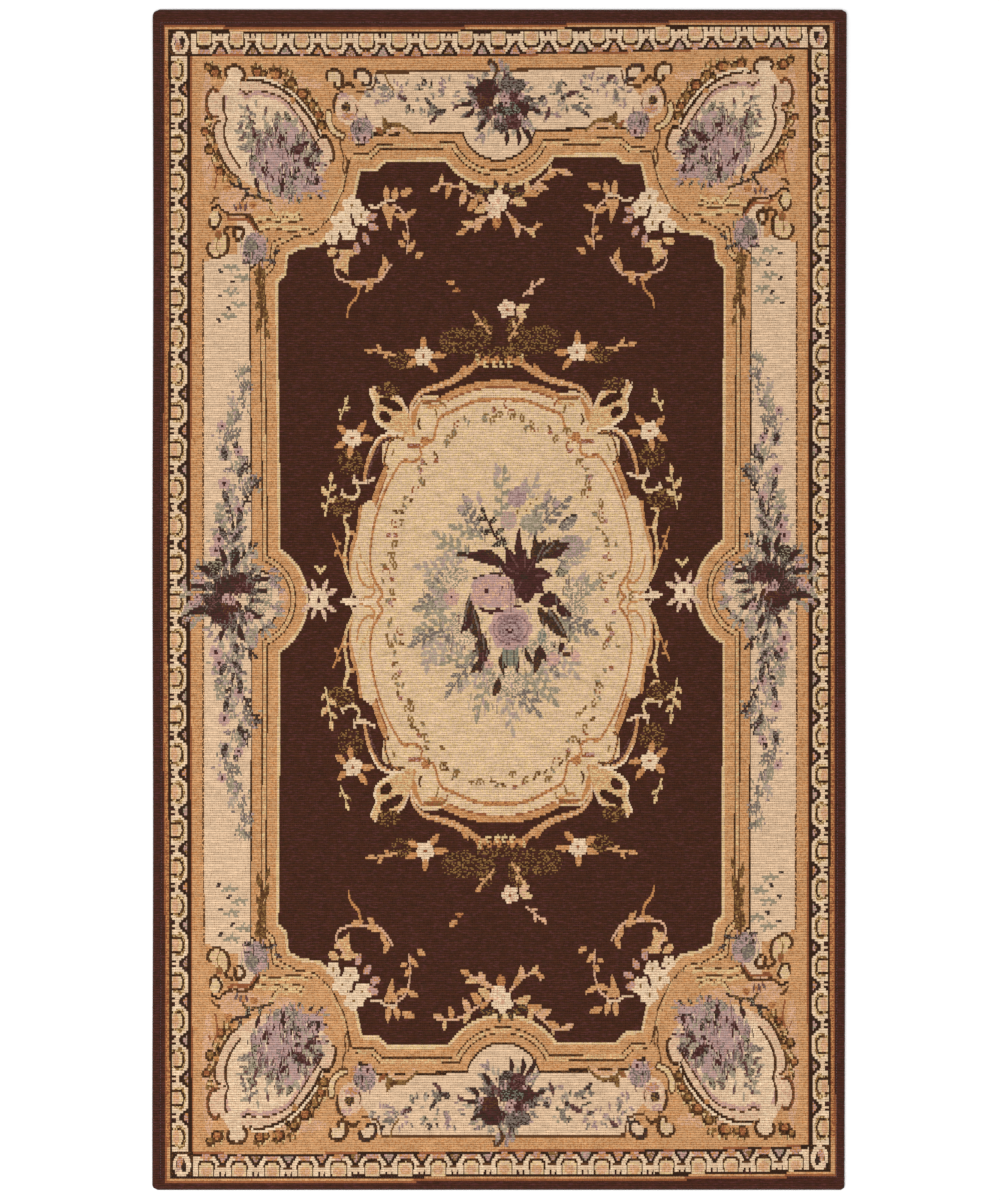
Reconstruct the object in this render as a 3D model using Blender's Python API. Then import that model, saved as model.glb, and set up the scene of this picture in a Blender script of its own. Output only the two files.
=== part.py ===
"""A flat-woven chenille rug with a turned and stitched hem, lying on a floor.

Metres, +Z up. X runs across the rug, Y along it, and the origin is the middle
of its underside. The cloth is one closed solid, lofted from rings that run
round the rug: up its rounded edge, over the hem, down into the groove that the
hem stitches pull in, and up again to the field.
"""

import math
from collections import namedtuple

import bmesh
import bpy
import numpy as np

# Driving sizes
WIDTH = 0.882
LENGTH = 1.500
FIELD_THICKNESS = 0.0038
HEM_THICKNESS = 0.0052
SIDE_HEM = 0.0105
END_HEM = 0.0168

# How finely the rings are cut
SIDE_STEPS = 30
END_STEPS = 18
CORNER_STEPS = 6
SMALLEST_RADIUS = 0.0008

RUG_BROWN = (0.075, 0.030, 0.022, 1.0)
RUG_ROUGHNESS = 0.95

# A side's drift: how far it leans in over its run, and the depth, count and start of its waves
Drift = namedtuple("Drift", "lean depth waves start")
LEFT_DRIFT = Drift(lean=-0.0004, depth=0.0009, waves=2.0, start=0.10)
RIGHT_DRIFT = Drift(lean=0.0019, depth=0.0009, waves=1.5, start=0.00)
TOP_DRIFT = Drift(lean=0.0003, depth=0.0007, waves=1.0, start=0.35)
BOTTOM_DRIFT = Drift(lean=-0.0003, depth=0.0007, waves=1.5, start=0.15)

# A corner: which way it lies from the middle, and its radius
Corner = namedtuple("Corner", "across along radius")
CORNERS = (
    Corner(across=1, along=1, radius=0.0065),
    Corner(across=-1, along=1, radius=0.0090),
    Corner(across=-1, along=-1, radius=0.0070),
    Corner(across=1, along=-1, radius=0.0045),
)

# A ring of the cloth: its inset as a share of the hem, a further inset, and its height
Ring = namedtuple("Ring", "hem_share inset height")
RINGS = (
    Ring(hem_share=0.0, inset=0.0013, height=0.0),
    Ring(hem_share=0.0, inset=0.0003, height=0.0009),
    Ring(hem_share=0.0, inset=0.0, height=0.0024),
    Ring(hem_share=0.0, inset=0.0004, height=0.0039),
    Ring(hem_share=0.0, inset=0.0017, height=0.0048),
    Ring(hem_share=0.45, inset=0.0, height=HEM_THICKNESS),
    Ring(hem_share=1.0, inset=-0.0018, height=0.0047),
    Ring(hem_share=1.0, inset=0.0, height=0.0031),
    Ring(hem_share=1.0, inset=0.0020, height=0.0037),
    Ring(hem_share=1.0, inset=0.0060, height=FIELD_THICKNESS),
)


def pull_in(drift, steps):
    """How far a side lies inside the straight line, from its start to its end."""
    run = np.linspace(0.0, 1.0, steps + 1)
    waves = 0.5 - 0.5 * np.cos(2 * math.pi * (drift.waves * run + drift.start))
    inward = drift.lean * run + drift.depth * waves
    return inward - inward.min()


def corner_points(corner, centre, radius):
    """A quarter circle round a corner, walked counter-clockwise seen from above."""
    start = math.atan2(corner.along, corner.across) - math.pi / 4
    angles = start + np.linspace(0.0, math.pi / 2, CORNER_STEPS + 1)
    return [(centre[0] + radius * math.cos(a), centre[1] + radius * math.sin(a)) for a in angles]


def ring_points(ring):
    """The ring's points, counter-clockwise from the lower end of the right side."""
    side_inset = ring.hem_share * SIDE_HEM + ring.inset
    end_inset = ring.hem_share * END_HEM + ring.inset
    right = WIDTH / 2 - side_inset - pull_in(RIGHT_DRIFT, SIDE_STEPS)[::-1]
    left = side_inset - WIDTH / 2 + pull_in(LEFT_DRIFT, SIDE_STEPS)
    top = LENGTH / 2 - end_inset - pull_in(TOP_DRIFT, END_STEPS)[::-1]
    bottom = end_inset - LENGTH / 2 + pull_in(BOTTOM_DRIFT, END_STEPS)
    # Each corner joins the end of one side to the start of the next.
    meets = ((right[-1], top[0]), (left[0], top[-1]), (left[-1], bottom[0]), (right[0], bottom[-1]))
    radii = [max(corner.radius - max(side_inset, end_inset), SMALLEST_RADIUS) for corner in CORNERS]
    centres = [
        (x - corner.across * radius, y - corner.along * radius)
        for (x, y), corner, radius in zip(meets, CORNERS, radii)
    ]
    corners = [corner_points(*row) for row in zip(CORNERS, centres, radii)]
    right_y = np.linspace(centres[3][1], centres[0][1], SIDE_STEPS + 1)
    top_x = np.linspace(centres[0][0], centres[1][0], END_STEPS + 1)
    left_y = np.linspace(centres[1][1], centres[2][1], SIDE_STEPS + 1)
    bottom_x = np.linspace(centres[2][0], centres[3][0], END_STEPS + 1)
    runs = (
        list(zip(right, right_y)),
        list(zip(top_x, top)),
        list(zip(left, left_y)),
        list(zip(bottom_x, bottom)),
    )
    points = []
    for run, corner in zip(runs, corners):
        points += run[1:-1]
        points += corner
    return [(x, y, ring.height) for x, y in points]


def cloth_mesh(name):
    """The closed cloth: its flat underside, its lofted rim and its flat field."""
    mesh = bmesh.new()
    loops = [[mesh.verts.new(point) for point in ring_points(ring)] for ring in RINGS]
    for lower, upper in zip(loops, loops[1:]):
        for i in range(len(lower)):
            j = (i + 1) % len(lower)
            mesh.faces.new((lower[i], lower[j], upper[j], upper[i]))
    mesh.faces.new(loops[0][::-1])
    mesh.faces.new(loops[-1])
    bmesh.ops.recalc_face_normals(mesh, faces=mesh.faces)
    data = bpy.data.meshes.new(name)
    mesh.to_mesh(data)
    mesh.free()
    data.shade_smooth()
    return data


def chenille(name):
    """The rug's ground colour, matt as chenille is."""
    material = bpy.data.materials.new(name)
    material.use_nodes = True
    shader = material.node_tree.nodes["Principled BSDF"]
    shader.inputs["Base Color"].default_value = RUG_BROWN
    shader.inputs["Roughness"].default_value = RUG_ROUGHNESS
    shader.inputs["Metallic"].default_value = 0.0
    return material


def clear_scene():
    """Takes away what the start-up file holds."""
    for thing in list(bpy.data.objects):
        bpy.data.objects.remove(thing, do_unlink=True)


def main():
    """Builds the rug as one node."""
    clear_scene()
    rug = bpy.data.objects.new("rug", cloth_mesh("rug"))
    rug.data.materials.append(chenille("chenille_brown"))
    bpy.context.scene.collection.objects.link(rug)


main()
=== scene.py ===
"""The looks of a chenille rug: its woven pattern, its ribs, its hem and the light on it.

The pattern is drawn on the loom's point paper, one square of which is 1.27 mm.
Squares count from the middle of the pattern, x to the right and y to the top.
The chart that comes out of it is woven weft by weft into the rug's face.
"""

import logging
import math
from collections.abc import Iterator, Sequence
from dataclasses import dataclass, field
from enum import Enum

import bpy
import numpy as np
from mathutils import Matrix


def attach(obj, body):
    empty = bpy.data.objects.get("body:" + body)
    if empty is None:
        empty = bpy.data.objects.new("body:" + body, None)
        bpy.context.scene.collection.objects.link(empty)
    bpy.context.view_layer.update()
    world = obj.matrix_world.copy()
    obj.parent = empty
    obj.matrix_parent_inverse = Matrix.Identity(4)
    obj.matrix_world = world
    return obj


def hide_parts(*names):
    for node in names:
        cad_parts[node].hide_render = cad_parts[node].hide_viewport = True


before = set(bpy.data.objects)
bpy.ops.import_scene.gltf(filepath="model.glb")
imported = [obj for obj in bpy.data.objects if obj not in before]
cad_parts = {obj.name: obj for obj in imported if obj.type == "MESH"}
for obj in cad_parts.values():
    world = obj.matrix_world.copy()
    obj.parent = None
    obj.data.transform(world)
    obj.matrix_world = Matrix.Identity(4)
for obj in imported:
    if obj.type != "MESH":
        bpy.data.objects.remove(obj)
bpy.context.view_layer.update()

Point = tuple[float, float]
Colour = tuple[float, float, float, float]
Socket = bpy.types.NodeSocket
LOG = logging.getLogger("rug")
SQUARE = 0.0012707
SEED = 1948


class Yarn(Enum):
    """The yarns, by their colour in daylight, red, green and blue from 0 to 255."""

    BROWN = (66, 33, 18)
    MARGIN = (69, 34, 22)
    BLACK = (50, 28, 12)
    UMBER = (92, 58, 30)
    CREAM = (214, 181, 147)
    IVORY = (224, 196, 162)
    GOLD = (198, 148, 101)
    AMBER = (184, 126, 76)
    BLUSH = (206, 161, 130)
    RUST = (144, 84, 50)
    OLIVE = (134, 98, 54)
    STRAW = (210, 178, 128)
    LILAC = (172, 142, 136)
    MAUVE = (148, 116, 112)
    ROSE = (184, 144, 134)
    MAROON = (70, 36, 32)
    PINE = (56, 42, 32)
    SAGE = (146, 134, 110)
    MIST = (172, 154, 132)
    SLATE = (116, 102, 92)
    TEAL = (120, 120, 104)
    PLUM = (104, 68, 64)

    def linear(self) -> tuple[float, float, float]:
        """The colour as linear light.

        Returns:
            Red, green and blue from 0 to 1.
        """
        levels = [part / 255 for part in self.value]
        bent = [v / 12.92 if v <= 0.04045 else ((v + 0.055) / 1.055) ** 2.4 for v in levels]
        return bent[0], bent[1], bent[2]


(
    BROWN, MARGIN, BLACK, UMBER, CREAM, IVORY, GOLD, AMBER, BLUSH, RUST, OLIVE, STRAW, LILAC, MAUVE, ROSE,
    MAROON, PINE, SAGE, MIST, SLATE, TEAL, PLUM,
) = Yarn


@dataclass(frozen=True)
class Drift:
    """How far the woven pattern has pulled out of true, in squares, at a few places.

    A row of the tables runs from the left of the rug to its right, and the rows from its top end down.
    """

    columns: tuple[float, ...] = (-347, -211, -110, 0, 110, 213, 347)
    rows: tuple[float, ...] = (590, 395, 0, -395, -590)
    rise: tuple[tuple[float, ...], ...] = (
        (-2.0, -3.5, -4.3, -2.4, 0.4, 2.6, 3.0),
        (-1.0, -3.7, -3.6, -1.3, 2.6, 11.0, 20.0),
        (-0.8, 1.4, -0.9, 1.4, 4.2, 9.5, 18.5),
        (-0.8, -1.1, -3.2, -0.6, 1.6, 7.2, 16.5),
        (-1.2, -2.0, -0.2, 1.0, 0.8, 2.5, 6.0),
    )
    shift: tuple[tuple[float, ...], ...] = (
        (0.8, -0.2, -1.5, -0.5, -0.2, -1.0, -0.8),
        (1.5, -0.2, 0.0, -0.8, 3.0, 3.0, 0.3),
        (-0.3, 3.0, 1.5, 1.5, 2.0, 1.8, -0.1),
        (1.8, 0.8, 1.8, 3.3, 4.0, 1.2, -0.5),
        (2.5, 3.0, 5.0, 5.3, 4.2, 2.2, 0.4),
    )

    def moved(self, points: np.ndarray) -> np.ndarray:
        """The points where the weave has pulled them to.

        Args:
            points: Places in the true pattern, one a row.

        Returns:
            The same number of places in the rug.
        """
        columns = np.array(self.columns)
        rows = np.array(self.rows)[::-1]
        i = np.clip(np.searchsorted(columns, points[:, 0]) - 1, 0, len(columns) - 2)
        j = np.clip(np.searchsorted(rows, points[:, 1]) - 1, 0, len(rows) - 2)
        u = np.clip((points[:, 0] - columns[i]) / (columns[i + 1] - columns[i]), 0, 1)
        v = np.clip((points[:, 1] - rows[j]) / (rows[j + 1] - rows[j]), 0, 1)
        u, v = u * u * (3 - 2 * u), v * v * (3 - 2 * v)
        out = points.copy()
        for axis, table in enumerate((self.shift, self.rise)):
            grid = np.array(table)[::-1]
            low = grid[j, i] * (1 - u) + grid[j, i + 1] * u
            high = grid[j + 1, i] * (1 - u) + grid[j + 1, i + 1] * u
            out[:, axis] += low * (1 - v) + high * v
        return out


def smooth(points: Sequence[Point], steps: int = 6, closed: bool = False) -> np.ndarray:
    """A curve through all of the points.

    Args:
        points: The places that the curve goes through.
        steps: How many pieces each stretch is cut into.
        closed: Whether the last point joins the first.

    Returns:
        The curve's points, one a row.
    """
    p = np.array(points, float)
    p = np.vstack([p[-1], p, p[:2]]) if closed else np.vstack([2 * p[0] - p[1], p, 2 * p[-1] - p[-2]])
    t = np.linspace(0, 1, steps, endpoint=False)[:, None]
    made = []
    for a, b, c, d in zip(p, p[1:], p[2:], p[3:]):
        curve = 2 * b + (c - a) * t + (2 * a - 5 * b + 4 * c - d) * t**2 + (3 * b - a - 3 * c + d) * t**3
        made.append(curve / 2)
    if not closed:
        made.append(p[-2][None])
    return np.vstack(made)


def turned(points: np.ndarray, place: Point, heading: float, size: float = 1.0) -> np.ndarray:
    """Points drawn about the origin, turned, sized and put in place.

    Args:
        points: The drawn points, the motif's own length along x.
        place: Where the origin goes.
        heading: The angle that the motif's x axis points to, in degrees.
        size: A factor on its size.

    Returns:
        The placed points.
    """
    c, s = math.cos(math.radians(heading)), math.sin(math.radians(heading))
    return np.array(points, float) @ np.array([[c, s], [-s, c]]) * size + np.array(place)


@dataclass
class Loom:
    """The chart of the rug's face: which yarn shows at each end of each pick."""

    width: float = 694.1
    length: float = 1180.5
    ends_a_square: int = 1
    pick: float = 1.1655
    middle: Point = (-0.3, -3.2)
    drift: Drift = field(default_factory=Drift)
    ends: int = 0
    picks: int = 0

    def __post_init__(self) -> None:
        """Strings the loom with the margin's yarn."""
        self.ends = round(self.width * self.ends_a_square)
        self.picks = round(self.length / self.pick / 2) * 2
        self.mixes: list[tuple[Yarn, Yarn, float]] = []
        self.chart = np.full((self.picks, self.ends), self.mix_of((MARGIN,), 0.0), np.int16)
        self.end_x = (np.arange(self.ends) + 0.5) / self.ends * self.width - self.width / 2
        self.pick_y = (np.arange(self.picks) + 0.5) / self.picks * self.length - self.length / 2

    def placed(self, points: np.ndarray) -> np.ndarray:
        """Points of the pattern, in the rug's own squares."""
        return self.drift.moved(points) + np.array(self.middle)

    def window(self, low: np.ndarray, high: np.ndarray) -> tuple[slice, slice]:
        """The picks and ends whose middles lie between two corners."""
        picks = np.searchsorted(self.pick_y, (low[1], high[1]))
        ends = np.searchsorted(self.end_x, (low[0], high[0]))
        return slice(picks[0], picks[1]), slice(ends[0], ends[1])

    def mix_of(self, yarns: Sequence[Yarn], share: float) -> int:
        """The number of a mix of yarns.

        Args:
            yarns: The main yarn, and perhaps a second one.
            share: How much of the second yarn shows, from 0 to 1.

        Returns:
            The mix's place in the loom's list, which it is added to if it is new.
        """
        mix = (yarns[0], yarns[-1], share if len(yarns) > 1 else 0.0)
        if mix not in self.mixes:
            self.mixes.append(mix)
        return self.mixes.index(mix)

    def fill(self, points: np.ndarray, yarns: Sequence[Yarn], share: float = 0.3) -> None:
        """Weaves a closed shape.

        Args:
            points: Its outline in the pattern, one point a row.
            yarns: Its yarn, and perhaps a second one.
            share: How much of the second yarn shows.
        """
        p = self.placed(points)
        where = self.window(p.min(0), p.max(0))
        xs, ys = self.end_x[where[1]], self.pick_y[where[0]]
        if not len(xs) or not len(ys):
            return
        a, b = p, np.roll(p, -1, axis=0)
        crosses = (a[:, 1] > ys[:, None]) != (b[:, 1] > ys[:, None])
        rise = np.where(a[:, 1] == b[:, 1], 1.0, b[:, 1] - a[:, 1])
        at = a[:, 0] + (ys[:, None] - a[:, 1]) / rise * (b[:, 0] - a[:, 0])
        mask = np.zeros((len(ys), len(xs)), bool)
        for row, (hit, cuts) in enumerate(zip(crosses, at)):
            mask[row] = np.searchsorted(np.sort(cuts[hit]), xs) % 2 == 1
        self.chart[where][mask] = self.mix_of(yarns, share)

    def line(
        self, points: np.ndarray, widths: Sequence[float], yarns: Sequence[Yarn], share: float = 0.3
    ) -> None:
        """Weaves a line.

        Args:
            points: The places that it runs through in the pattern, one a row.
            widths: Its width at the start, and at places evenly spread to its end.
            yarns: Its yarn, and perhaps a second one.
            share: How much of the second yarn shows.
        """
        p = self.placed(points)
        run = np.concatenate([[0], np.cumsum(np.hypot(*np.diff(p, axis=0).T))])
        half = np.interp(run / max(run[-1], 1e-9), np.linspace(0, 1, len(widths)), widths) / 2
        reach = half.max()
        mix = self.mix_of(yarns, share)
        for a, b, ra, rb in zip(p, p[1:], half, half[1:]):
            where = self.window(np.minimum(a, b) - reach, np.maximum(a, b) + reach)
            x, y = self.end_x[where[1]][None] - a[0], self.pick_y[where[0]][:, None] - a[1]
            d = b - a
            t = np.clip((x * d[0] + y * d[1]) / max(d @ d, 1e-9), 0, 1)
            mask = np.hypot(x - t * d[0], y - t * d[1]) <= ra + (rb - ra) * t
            self.chart[where][mask] = mix


    def beat(self) -> None:
        """Beats each two half picks into one weft, which shows the rarer of their yarns."""
        counts = np.bincount(self.chart.ravel(), minlength=len(self.mixes))
        low, high = self.chart[0::2], self.chart[1::2]
        self.chart = np.where(counts[low] < counts[high], low, high)
        self.picks //= 2


@dataclass(frozen=True)
class Hand:
    """A weaver's hand that draws motifs on the loom, mirrored across or along the rug."""

    loom: Loom
    across: int = 1
    along: int = 1

    def laid(self, points: np.ndarray | Sequence[Point]) -> np.ndarray:
        """The points, mirrored as this hand works."""
        return np.array(points, float) * np.array([self.across, self.along])

    def shape(self, points: np.ndarray | Sequence[Point], *yarns: Yarn, share: float = 0.3) -> None:
        """Fills a closed outline."""
        self.loom.fill(self.laid(points), yarns, share)

    def line(self, points: np.ndarray | Sequence[Point], widths: Sequence[float], *yarns: Yarn) -> None:
        """Draws a line through the points."""
        self.loom.line(self.laid(points), widths, yarns)

    def curve(
        self, points: Sequence[Point], widths: Sequence[float], *yarns: Yarn, closed: bool = False
    ) -> None:
        """Draws a smooth line through the points."""
        path = smooth(points, closed=closed)
        self.line(np.vstack([path, path[:1]]) if closed else path, widths, *yarns)

    def pool(self, points: Sequence[Point], *yarns: Yarn, share: float = 0.3) -> None:
        """Fills the smooth closed outline through the points."""
        self.shape(smooth(points, 4, closed=True), *yarns, share=share)

    def spot(self, place: Point, width: float, height: float, *yarns: Yarn, share: float = 0.3) -> None:
        """Fills an oval."""
        self.shape(oval(place, width, height), *yarns, share=share)

    def stipple(self, place: Point, width: float, height: float) -> None:
        """A dim dotted patch, the shadow behind a spray."""
        self.spot(place, width, height, BROWN, OLIVE, share=0.28)

    def streaks(
        self, place: Point, width: float, height: float, count: int, rng: np.random.Generator, *yarns: Yarn
    ) -> None:
        """Short upright strokes, one or two ends wide, that shade a bouquet.

        Args:
            place: The middle of the patch.
            width: The patch's width.
            height: The patch's height.
            count: How many strokes it has.
            rng: The source of their places.
            yarns: The yarns that they take in turn.
        """
        for number in range(count):
            angle, out = rng.uniform(0, 2 * math.pi), math.sqrt(rng.random()) / 2
            x, y = place[0] + width * out * math.cos(angle), place[1] + height * out * math.sin(angle)
            tall = rng.uniform(2.5, 8.0)
            self.line(
                [(x, y - tall / 2), (x + rng.uniform(-1, 1), y + tall / 2)], (1.0, 1.3, 0.9),
                yarns[number % len(yarns)],
            )

    def tufts(
        self,
        place: Point,
        width: float,
        height: float,
        count: int,
        rng: np.random.Generator,
        size: float,
        *yarns: Yarn,
    ) -> None:
        """Small leaves that point outwards from the middle of a patch, each in a mix of two yarns.

        Args:
            place: The middle of the patch.
            width: The patch's width.
            height: The patch's height.
            count: How many leaves it has.
            rng: The source of their places.
            size: A leaf's length.
            yarns: The yarns that they take in turn.
        """
        for number in range(count):
            angle, out = rng.uniform(0, 2 * math.pi), math.sqrt(rng.random()) / 2
            root = place[0] + width * out * math.cos(angle), place[1] + height * out * math.sin(angle)
            heading = math.degrees(angle) + rng.uniform(-50, 50)
            first, second = yarns[number % len(yarns)], yarns[(number + 1) % len(yarns)]
            self.leaf(root, heading, size * rng.uniform(0.7, 1.3), size * 0.36, first, second, share=0.35)

    def leaf(
        self,
        place: Point,
        heading: float,
        length: float,
        width: float,
        *yarns: Yarn,
        bend: float = 0.0,
        share: float = 0.3,
    ) -> None:
        """A pointed leaf.

        Args:
            place: Its root.
            heading: The way that it points, in degrees.
            length: From root to tip.
            width: At its widest.
            yarns: Its yarn, and perhaps a second one.
            bend: How far its middle bows to the left, as a share of its length.
            share: How much of the second yarn shows.
        """
        t = np.linspace(0, 1, 9)
        spine = bend * length * np.sin(math.pi * t)
        side = width / 2 * np.sin(math.pi * t**0.8) ** 0.9
        upper = np.column_stack([t * length, spine + side])
        lower = np.column_stack([t * length, spine - side])[::-1]
        self.shape(turned(np.vstack([upper, lower[1:-1]]), place, heading), *yarns, share=share)

    def leaves(
        self,
        rows: Sequence[Sequence[float]],
        *yarns: Yarn,
        length: float = 0.0,
        width: float = 0.0,
        bend: float = 0.0,
        share: float = 0.3,
    ) -> None:
        """Leaves that are alike.

        Args:
            rows: Each leaf's x, y and heading, and its length and width where they differ.
            yarns: Their yarn, and perhaps a second one.
            length: From root to tip, where all have the same.
            width: At the widest, where all have the same.
            bend: How far their middles bow to the left, as a share of their length.
            share: How much of the second yarn shows.
        """
        for x, y, heading, *sizes in rows:
            sizes += (length, width)[len(sizes) :]
            self.leaf((x, y), heading, sizes[0], sizes[1], *yarns, bend=bend, share=share)

    def sprig(
        self,
        place: Point,
        heading: float,
        length: float,
        *yarns: Yarn,
        leaves: int = 5,
        size: float = 6.0,
        bend: float = 0.0,
    ) -> None:
        """A stem with leaves to either side and one at its tip.

        Args:
            place: The stem's root.
            heading: The way that it starts, in degrees.
            length: The stem's length.
            yarns: The leaves' yarns.
            leaves: How many leaves it has.
            size: A leaf's length.
            bend: How far the stem turns to the left on its way, in degrees.
        """
        x, y = place
        path = [place]
        steps = max(leaves, 2)
        for step in range(steps):
            angle = math.radians(heading + bend * (step + 0.5) / steps)
            x, y = x + math.cos(angle) * length / steps, y + math.sin(angle) * length / steps
            path.append((x, y))
        self.line(path, (1.5, 1.1), yarns[0])
        for step, root in enumerate(path[1:]):
            on_tip = step == steps - 1
            side = 0 if on_tip else (48 if step % 2 else -48)
            turn = heading + bend * (step + 1) / steps + side
            grown = size * (0.8 + 0.3 * ((step * 7) % 3) / 2)
            self.leaf(root, turn, grown, grown * 0.42, *yarns, bend=0.08 if side > 0 else -0.08)

    def blossom(
        self,
        place: Point,
        radius: float,
        petals: int,
        *yarns: Yarn,
        heart: Yarn = RUST,
        start: float = 90.0,
        heart_size: float = 0.26,
    ) -> None:
        """An open flower with round petals.

        Args:
            place: Its middle.
            radius: From its middle to a petal's end.
            petals: How many petals it has.
            yarns: The petals' yarns.
            heart: The yarn of its middle.
            start: The first petal's angle, in degrees.
            heart_size: The middle's radius, as a share of the flower's.
        """
        for petal in range(petals):
            angle = start + petal * 360 / petals
            middle = beside(place, radius * 0.56, angle)
            self.shape(turned(oval((0, 0), radius * 0.98, radius * 0.84), middle, angle), *yarns)
        self.spot(place, radius * 2 * heart_size, radius * 2 * heart_size, heart)

    def blossoms(
        self, rows: Sequence[Sequence[float]], petals: int, *yarns: Yarn, heart: Yarn,
        heart_size: float = 0.26
    ) -> None:
        """Flowers that are alike, each row an x, a y and a radius."""
        for x, y, radius in rows:
            self.blossom((x, y), radius, petals, *yarns, heart=heart, heart_size=heart_size)

    def curl(
        self, place: Point, radius: float, heading: float, turns: float, width: float, yarn: Yarn
    ) -> None:
        """A small spiral that curls in, fat at its open end.

        Args:
            place: Its middle.
            radius: How far out it starts.
            heading: The angle from the middle at which it starts, in degrees.
            turns: How many turns it makes.
            width: Its width where it starts.
            yarn: Its yarn.
        """
        t = np.linspace(0, 1, max(int(turns * 20), 8))
        angle = np.radians(heading) + t * turns * 2 * math.pi
        reach = radius * (1 - 0.78 * t)
        path = np.column_stack([place[0] + reach * np.cos(angle), place[1] + reach * np.sin(angle)])
        self.line(path, (width, width * 0.7), yarn)


def beside(place: Point, reach: float, heading: float) -> Point:
    """The place at a distance from another one, in the way of a heading in degrees."""
    x, y = turned(np.array([[reach, 0.0]]), place, heading)[0]
    return x, y


def oval(place: Point, width: float, height: float, points: int = 18) -> np.ndarray:
    """An oval's outline."""
    t = np.linspace(0, 2 * math.pi, points, endpoint=False)
    return np.column_stack([place[0] + width / 2 * np.cos(t), place[1] + height / 2 * np.sin(t)])


def block(left: float, right: float, low: float, high: float, step: float = 12.0) -> np.ndarray:
    """A rectangle's outline, with enough points to follow the drift of the weave."""
    xs = np.linspace(left, right, max(int(abs(right - left) / step), 1) + 1)
    ys = np.linspace(low, high, max(int(abs(high - low) / step), 1) + 1)
    sides = [(x, low) for x in xs] + [(right, y) for y in ys[1:]]
    sides += [(x, high) for x in xs[::-1][1:]] + [(left, y) for y in ys[::-1][1:-1]]
    return np.array(sides)


def dense(points: Sequence[Point], step: float = 10.0) -> np.ndarray:
    """A polyline cut into short stretches, so that it follows the drift of the weave."""
    made = []
    for a, b in zip(points, points[1:]):
        count = max(int(math.dist(a, b) / step), 1)
        made += [(a[0] + (b[0] - a[0]) * i / count, a[1] + (b[1] - a[1]) * i / count) for i in range(count)]
    return np.array(made + [points[-1]])


def four_hands(loom: Loom) -> Iterator[Hand]:
    """A hand for each quarter of the rug."""
    for across in (-1, 1):
        for along in (-1, 1):
            yield Hand(loom, across, along)


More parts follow.
